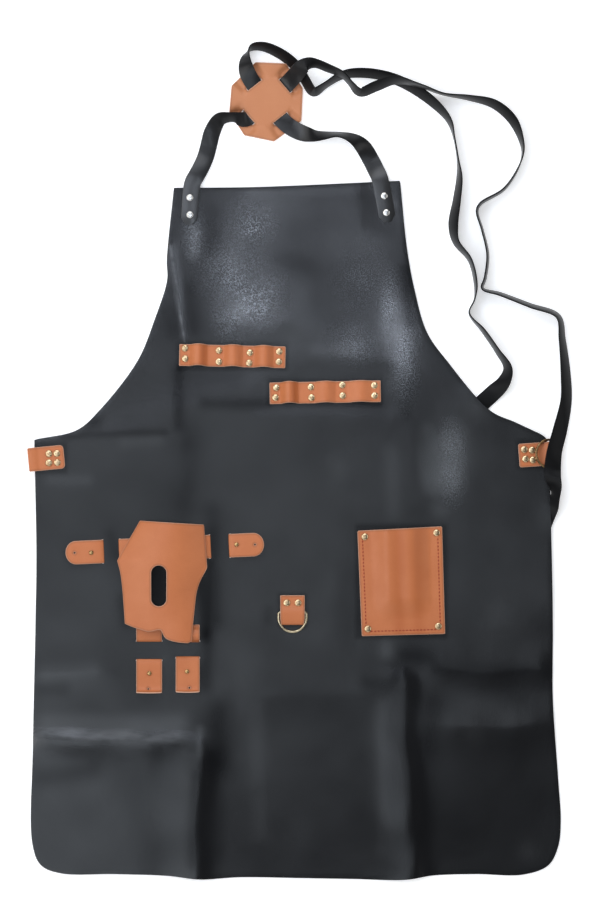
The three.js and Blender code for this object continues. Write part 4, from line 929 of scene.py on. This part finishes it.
# Pocket stitching
# One row of dark thread, about three stitches to the centimetre, round the three closed sides of the pocket.
STITCH = {"inset": 5, "top": 12.5, "pitch": 4, "length": 2.5, "width": 1.5, "height": 0.7, "proud": 0.1}
SEAM_STEPS = 60


class Tree:
    """A Geometry Nodes tree with named inputs."""

    def __init__(self, name, sizes):
        self.tree = bpy.data.node_groups.new(name, "GeometryNodeTree")
        self.sizes = sizes
        for way in ("INPUT", "OUTPUT"):
            self.tree.interface.new_socket("Geometry", in_out=way, socket_type="NodeSocketGeometry")
        for key in sizes:
            self.tree.interface.new_socket(key, in_out="INPUT", socket_type="NodeSocketFloat")
        self.start = self.tree.nodes.new("NodeGroupInput")

    def size(self, key):
        return self.start.outputs[key]

    def make(self, kind, settings=None, **inputs):
        """The first output of a new node."""
        return put(self.tree, "GeometryNode" + kind, settings, **inputs).outputs[0]

    def times(self, first, second):
        return calculate(self.tree, "MULTIPLY", first, second)

    def vector(self, x, y, z):
        return put(self.tree, "ShaderNodeCombineXYZ", X=x, Y=y, Z=z).outputs[0]

    def join(self, *parts):
        made = self.tree.nodes.new("GeometryNodeJoinGeometry")
        for part in reversed(parts):
            self.tree.links.new(part, made.inputs[0])
        return made.outputs[0]

    def close(self, shape, finish):
        real = self.make("RealizeInstances", Geometry=shape)
        smooth = self.make("SetShadeSmooth", Geometry=real)
        done = self.make("SetMaterial", Geometry=smooth, Material=finish)
        self.tree.links.new(done, self.tree.nodes.new("NodeGroupOutput").inputs[0])

    def grow(self, obj):
        """Runs the tree on an object and leaves a plain mesh."""
        modifier = obj.modifiers.new("grow", "NODES")
        modifier.node_group = self.tree
        for item in self.tree.interface.items_tree:
            if item.in_out == "INPUT" and item.name in self.sizes:
                modifier[item.identifier] = self.sizes[item.name]
        ready = obj.evaluated_get(bpy.context.evaluated_depsgraph_get())
        mesh = bpy.data.meshes.new_from_object(ready)
        obj.modifiers.clear()
        obj.data = mesh


def thread(name, colour, light):
    """Twisted thread."""
    material, tree, shader, where = new_finish(name, Roughness=0.7, Specular_IOR_Level=0.3)
    diagonal = {"bands_direction": "DIAGONAL"}
    twist = put(tree, "ShaderNodeTexWave", diagonal, Vector=where, Scale=900, Distortion=1.5).outputs["Fac"]
    feed(
        tree, shader,
        Base_Color=blend_colours(tree, twist, colour, light),
        Normal=embossed(tree, twist, 0.4, 0.0002),
    )
    return material


thread_finish = thread("stitch_thread", (0.28, 0.034, 0.015, 1), (0.38, 0.065, 0.03, 1))
near, far, top = STITCH["inset"], POCKET_SIZE[0] - STITCH["inset"], POCKET_SIZE[1] - STITCH["top"]
seam = np.array([(near, top), (near, near), (far, near), (far, top)], float)
seam_line = np.vstack([np.linspace(a, b, SEAM_STEPS, endpoint=False) for a, b in zip(seam, seam[1:])])
seam_points = pocket_lay(seam_line[:, 0], seam_line[:, 1]) + np.array([0, 0, TAN_THICK / 2 + STITCH["proud"]])
stitching = bpy.data.objects.new("pocket_stitching", bpy.data.meshes.new("pocket_stitching"))
stitching.data.from_pydata((seam_points * MM).tolist(), [(i, i + 1) for i in range(len(seam_points) - 1)], [])
bpy.context.scene.collection.objects.link(stitching)
row = Tree("stitch_row", {
    "Pitch": STITCH["pitch"] * MM,
    "Stitch length": STITCH["length"] * MM,
    "Stitch width": STITCH["width"] * MM,
})
line = row.make("MeshToCurve", Mesh=row.start.outputs[0])
by_length = {"mode": "LENGTH"}
dots = put(row.tree, "GeometryNodeCurveToPoints", by_length, Curve=line, Length=row.size("Pitch")).outputs
bead = row.make("MeshUVSphere", Segments=8, Rings=6, Radius=0.5)
wide = row.size("Stitch width")
stitch_size = row.vector(wide, row.times(wide, STITCH["height"]), row.size("Stitch length"))
shaped = row.make("Transform", Geometry=bead, Scale=stitch_size)
stitches = row.make("InstanceOnPoints", Points=dots["Points"], Instance=shaped, Rotation=dots["Rotation"])
row.close(stitches, thread_finish)
row.grow(stitching)
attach(stitching, "apron")

# Rivets and studs
# Two-part rivets of pale brass: a domed cap on the front, a shank through the leather, a flat cap behind.
# The holster's straps are kept by smaller studs of the same metal.
RIVET = {"radius": 4, "height": 1.6, "shank": 1.5, "back_radius": 3.2, "back_height": 0.8}
STUD = {"radius": 2.6, "height": 1.5, "shank": 1.2, "back_radius": 3, "back_height": 0.8}
SEAT = 0.3
CAP_RIM = 0.3  # share of a cap's height that stands straight
CAP_SHARP = 50
BACK_TAPER = 0.8


def plated_brass(name, colour, tarnish):
    """Plated metal, clouded by tarnish and finely scuffed."""
    material, tree, shader, where = new_finish(name, Metallic=1.0)
    cloud, scuff = mottle(tree, where, 420, 4, 0.6), mottle(tree, where, 2600, 2)
    feed(
        tree, shader,
        Base_Color=blend_colours(tree, span(tree, cloud, 0.4, 0.7, 0, 1), colour, tarnish),
        Roughness=span(tree, cloud, 0.3, 0.7, 0.2, 0.34),
        Normal=embossed(tree, scuff, 0.12, 0.0001),
    )
    return material


def domed_fixings(name, nodes, size, finish):
    """A Geometry Nodes field of fixings, one on each of these CAD fixings."""
    boxes = [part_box(n) for n in nodes]
    cap_height = (size["height"] + SEAT) * MM
    back_height = (size["back_height"] + SEAT) * MM
    obj = bpy.data.objects.new(name, bpy.data.meshes.new(name))
    obj.data.from_pydata([((a.x + b.x) / 2, (a.y + b.y) / 2, b.z - cap_height) for a, b in boxes], [], [])
    mark(obj, "grip", [b.z - a.z - cap_height - back_height for a, b in boxes])
    bpy.context.scene.collection.objects.link(obj)
    field = Tree(name + "_field", {
        "Cap radius": size["radius"] * MM, "Cap height": cap_height, "Shank radius": size["shank"] * MM,
        "Back radius": size["back_radius"] * MM, "Back height": back_height,
    })
    spots, wide, tall = field.start.outputs[0], field.size("Cap radius"), field.size("Cap height")
    grip = field.make("InputNamedAttribute", {"data_type": "FLOAT"}, Name="grip")
    ball = field.make("MeshUVSphere", Segments=28, Rings=14, Radius=1.0)
    place = put(field.tree, "ShaderNodeSeparateXYZ", Vector=field.make("InputPosition")).outputs
    above = field.vector(place["X"], place["Y"], calculate(field.tree, "MAXIMUM", place["Z"], 0.0))
    half = field.make("SetPosition", Geometry=ball, Position=above)
    rim = field.times(tall, CAP_RIM)
    dome = field.make(
        "Transform", Geometry=half, Translation=field.vector(0.0, 0.0, rim),
        Scale=field.vector(wide, wide, field.times(tall, 1 - CAP_RIM)),
    )
    base = field.make("MeshCylinder", Vertices=28, Radius=wide, Depth=rim)
    base = field.make("Transform", Geometry=base, Translation=field.vector(0.0, 0.0, field.times(rim, 0.5)))
    cap = field.join(dome, base)
    pin = field.make("MeshCylinder", Vertices=12, Radius=field.size("Shank radius"), Depth=1.0)
    back = field.make(
        "MeshCone", Vertices=28, Radius_Top=field.times(field.size("Back radius"), BACK_TAPER),
        Radius_Bottom=field.size("Back radius"), Depth=field.size("Back height"),
    )
    back = field.make("Transform", Geometry=back, Rotation=(math.pi, 0, 0))
    down = field.times(grip, -1.0)
    middle = field.make("SetPosition", Geometry=spots, Offset=field.vector(0.0, 0.0, field.times(down, 0.5)))
    bottom = field.make("SetPosition", Geometry=spots, Offset=field.vector(0.0, 0.0, down))
    pin_size = field.vector(1.0, 1.0, grip)
    field.close(field.join(
        field.make("InstanceOnPoints", Points=spots, Instance=cap),
        field.make("InstanceOnPoints", Points=middle, Instance=pin, Scale=pin_size),
        field.make("InstanceOnPoints", Points=bottom, Instance=back),
    ), finish)
    field.grow(obj)
    obj.data.set_sharp_from_angle(angle=math.radians(CAP_SHARP))
    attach(obj, "apron")
    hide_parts(*nodes)


bib_rivets = sorted(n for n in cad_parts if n.startswith("rivet_bib"))
other_rivets = sorted(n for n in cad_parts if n.startswith("rivet_") and n not in bib_rivets)
studs = sorted(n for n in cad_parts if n.startswith("stud_"))
silver_finish = plated_brass("silvery_rivet", (0.80, 0.79, 0.76, 1), (0.50, 0.48, 0.44, 1))
rivet_finish = plated_brass("rivet_metal", (0.70, 0.53, 0.32, 1), (0.38, 0.24, 0.12, 1))
stud_finish = plated_brass("stud_metal", (0.50, 0.32, 0.14, 1), (0.22, 0.12, 0.05, 1))
domed_fixings("strap_rivets", bib_rivets, RIVET, silver_finish)
domed_fixings("rivets", other_rivets, RIVET, rivet_finish)
domed_fixings("studs", studs, STUD, stud_finish)

# Rings
# Bent wire rings, the middle one of pale brass and the waist one of a darker metal: a straight bar held in a
# leather fold, and a round bow.
# The middle ring swings in its tab, and the waist ring lies flipped over its own.
RING_CORNER, RING_STEP = 0.8, 1.2
D_RING = {"wire": 3, "width": 31.4, "depth": 22.5}
WAIST_RING = {"wire": 2.8, "width": 31.6, "depth": 18.8}
D_BAR = {"y": -171.5, "height": 8.8, "tilt": 5.3}
WAIST_BAR = {"back": 3.75, "height": 5.3, "tilt": -21}  # back from the fold, up from the floor


def ring_line(wire, width, depth):
    """The middle line of a ring's wire: its bow, and its bar along the x axis."""
    half, corner = width / 2, wire * RING_CORNER
    straight = depth - half
    bow = [(half * math.cos(t), -straight + half * math.sin(t)) for t in np.radians(np.arange(0, -181, -6))]
    turns = np.radians(np.arange(0, 91, 15))
    right = [(half - corner + corner * math.sin(t), -corner + corner * math.cos(t)) for t in turns]
    left = [(-x, y) for x, y in right[::-1]]
    return np.array(right + bow + left)


def turned(first, second, degrees):
    c, s = math.cos(math.radians(degrees)), math.sin(math.radians(degrees))
    return first * c - second * s, first * s + second * c


def bent_ring(name, size, bar, turn, tilt, body, node, finish):
    """A ring of round wire: its bar's middle, turn in plan and tilt up from the floor."""
    plan = spaced(ring_line(**size), RING_STEP)
    run = np.roll(plan, -1, axis=0) - np.roll(plan, 1, axis=0)
    run /= np.linalg.norm(run, axis=1)[:, None]
    aside = np.column_stack([run[:, 1], -run[:, 0]])
    radius = size["wire"] / 2
    rounds = [(radius * math.cos(a), radius * math.sin(a)) for a in np.radians(np.arange(0, 360, 30))]
    rings = [np.array([(*(point + way * u), v) for u, v in rounds]) for point, way in zip(plan, aside)]
    points, faces = swept(rings, closed=True)
    x, y, z = points.T
    y, z = turned(y, z, tilt)
    x, y = turned(x, y, turn)
    obj = place_mesh(name, np.column_stack([x, y, z]) + np.array(bar), faces, finish)
    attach(obj, body)
    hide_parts(node)


ring_finish = plated_brass("ring_brass", (0.62, 0.53, 0.36, 1), (0.42, 0.34, 0.22, 1))
d_bar = (RING_TAB["x"], D_BAR["y"], D_BAR["height"])
bent_ring("middle_ring", D_RING, d_bar, 0, D_BAR["tilt"], "d_ring", "d_ring", ring_finish)
_, tab_x, tab_y, tab_turn, tab_length, _ = WAIST_TABS[1]
waist_bar = (*out_from(tab_x, tab_y, tab_turn, tab_length - WAIST_BAR["back"]), WAIST_BAR["height"])
darker_ring_finish = plated_brass("ring_darker_metal", (0.30, 0.19, 0.09, 1), (0.16, 0.085, 0.035, 1))
bent_ring(
    "ring_at_waist", WAIST_RING, waist_bar, tab_turn - 90, WAIST_BAR["tilt"],
    "apron", "waist_ring", darker_ring_finish,
)

# Floor, light and camera
# A pale floor, soft light from above, and a camera that looks straight down, as the photograph does.
FRAME_HEIGHT, PIXEL = 924, 1.136 * MM
CAMERA_HEIGHT = 8.0
FLOOR = {"half": 3.0, "height": -0.0003}

floor_mesh = bpy.data.meshes.new("floor")
floor_corners = [(u * FLOOR["half"], v * FLOOR["half"], FLOOR["height"]) for u, v in rectangle(-1, 1, -1, 1)]
floor_mesh.from_pydata(floor_corners, [], [(0, 1, 2, 3)])
floor = bpy.data.objects.new("floor", floor_mesh)
bpy.context.scene.collection.objects.link(floor)
floor_finish, tree, shader, where = new_finish(
    "pale_floor", Roughness=0.8, Specular_IOR_Level=0.2, Emission_Color=(1, 1, 1, 1), Emission_Strength=0.4
)
speck = mottle(tree, where, 3, 2)
feed(tree, shader, Base_Color=blend_colours(tree, speck, (0.92, 0.92, 0.92, 1), (0.94, 0.94, 0.94, 1)))
floor_mesh.materials.append(floor_finish)


def soft_light(name, at, aim, size, glow, tint=(1, 1, 1)):
    """A flat light of even glow that the camera doesn't see."""
    lamp = bpy.data.lights.new(name, "AREA")
    lamp.shape, lamp.size, lamp.size_y = "RECTANGLE", *size
    lamp.energy = glow * math.pi * size[0] * size[1]
    lamp.color = tint
    obj = bpy.data.objects.new(name, lamp)
    obj.location = at
    obj.rotation_euler = (Vector(aim) - Vector(at)).to_track_quat("-Z", "Y").to_euler()
    obj.visible_camera = False
    bpy.context.scene.collection.objects.link(obj)


SKY, BIB_SKY = (0.83, 0.913, 1.01), (0.81, 0.885, 1.03)
BIB_START = 0.1
for name, at, size, glow in (
    ("west_box", (-1.7, 0, 1.4), (2.6, 1.5), 2.0),
    ("north_box", (-0.2, 1.8, 1.4), (2.2, 1.4), 2.0),
    ("east_box", (2.2, 0, 1.2), (2.6, 1.6), 1.2),
    ("south_box", (0, -2.3, 1.2), (2.6, 1.6), 1.2),
):
    soft_light(name, at, (0, 0, 0), size, glow)
for name, x, y, height, size, glow in (
    ("over_left", -0.43, -0.08, 1.2, (1.04, 0.50), 1.05),
    ("over_bib", 0.02, 0.28, 1.2, (0.28, 0.34), 1.85),
    ("over_shoulder", -0.15, 0.35, 1.2, (0.07, 0.18), 1.5),
    ("over_north", -0.10, 1.05, 1.2, (1.00, 0.70), 2.2),
    ("over_armhole", -0.49, 0.30, 1.2, (0.38, 0.40), 3.2),
    ("over_skirt", -0.57, -0.62, 1.2, (0.80, 0.64), 1.6),
    ("over_middle", 0.02, -0.43, 1.2, (0.30, 0.34), 0.55),
    ("over_right", 0.26, -0.12, 1.2, (0.30, 0.44), 0.74),
    ("over_corner", 0.26, -0.50, 1.2, (0.34, 0.30), 0.16),
    ("lamp_bib_upper", -0.059, 0.281, 0.3, (0.022, 0.022), 10),
    ("lamp_bib_side", -0.077, 0.217, 0.3, (0.022, 0.032), 7),
    ("lamp_bib_lower", -0.055, 0.188, 0.3, (0.022, 0.022), 20),
    ("lamp_bib_corner", -0.121, 0.257, 0.15, (0.006, 0.034), 5.5),
    ("lamp_bib_right", 0.066, 0.141, 0.3, (0.022, 0.020), 9),
    ("lamp_right", 0.107, 0.168, 0.15, (0.010, 0.050), 7.5),
    ("lamp_armhole", 0.117, 0.138, 0.15, (0.010, 0.060), 11),
    ("lamp_waist", 0.174, 0.000, 0.15, (0.010, 0.074), 4.8),
):
    soft_light(name, (x, y, height), (x, y, 0), size, glow, BIB_SKY if y > BIB_START else SKY)
world = bpy.data.worlds.new("studio")
world.use_nodes = True
feed(world.node_tree, world.node_tree.nodes["Background"], Color=(0.95, 0.97, 1.0, 1), Strength=0.1)
scene = bpy.context.scene
scene.world = world
scene.view_settings.view_transform = "Standard"
lens = bpy.data.cameras.new("camera")
lens.sensor_fit = "VERTICAL"
lens.angle = 2 * math.atan(FRAME_HEIGHT * PIXEL / 2 / CAMERA_HEIGHT)
camera = bpy.data.objects.new("camera", lens)
camera.location = (0, -PIXEL, CAMERA_HEIGHT)
scene.collection.objects.link(camera)
scene.camera = camera

bpy.context.view_layer.update()
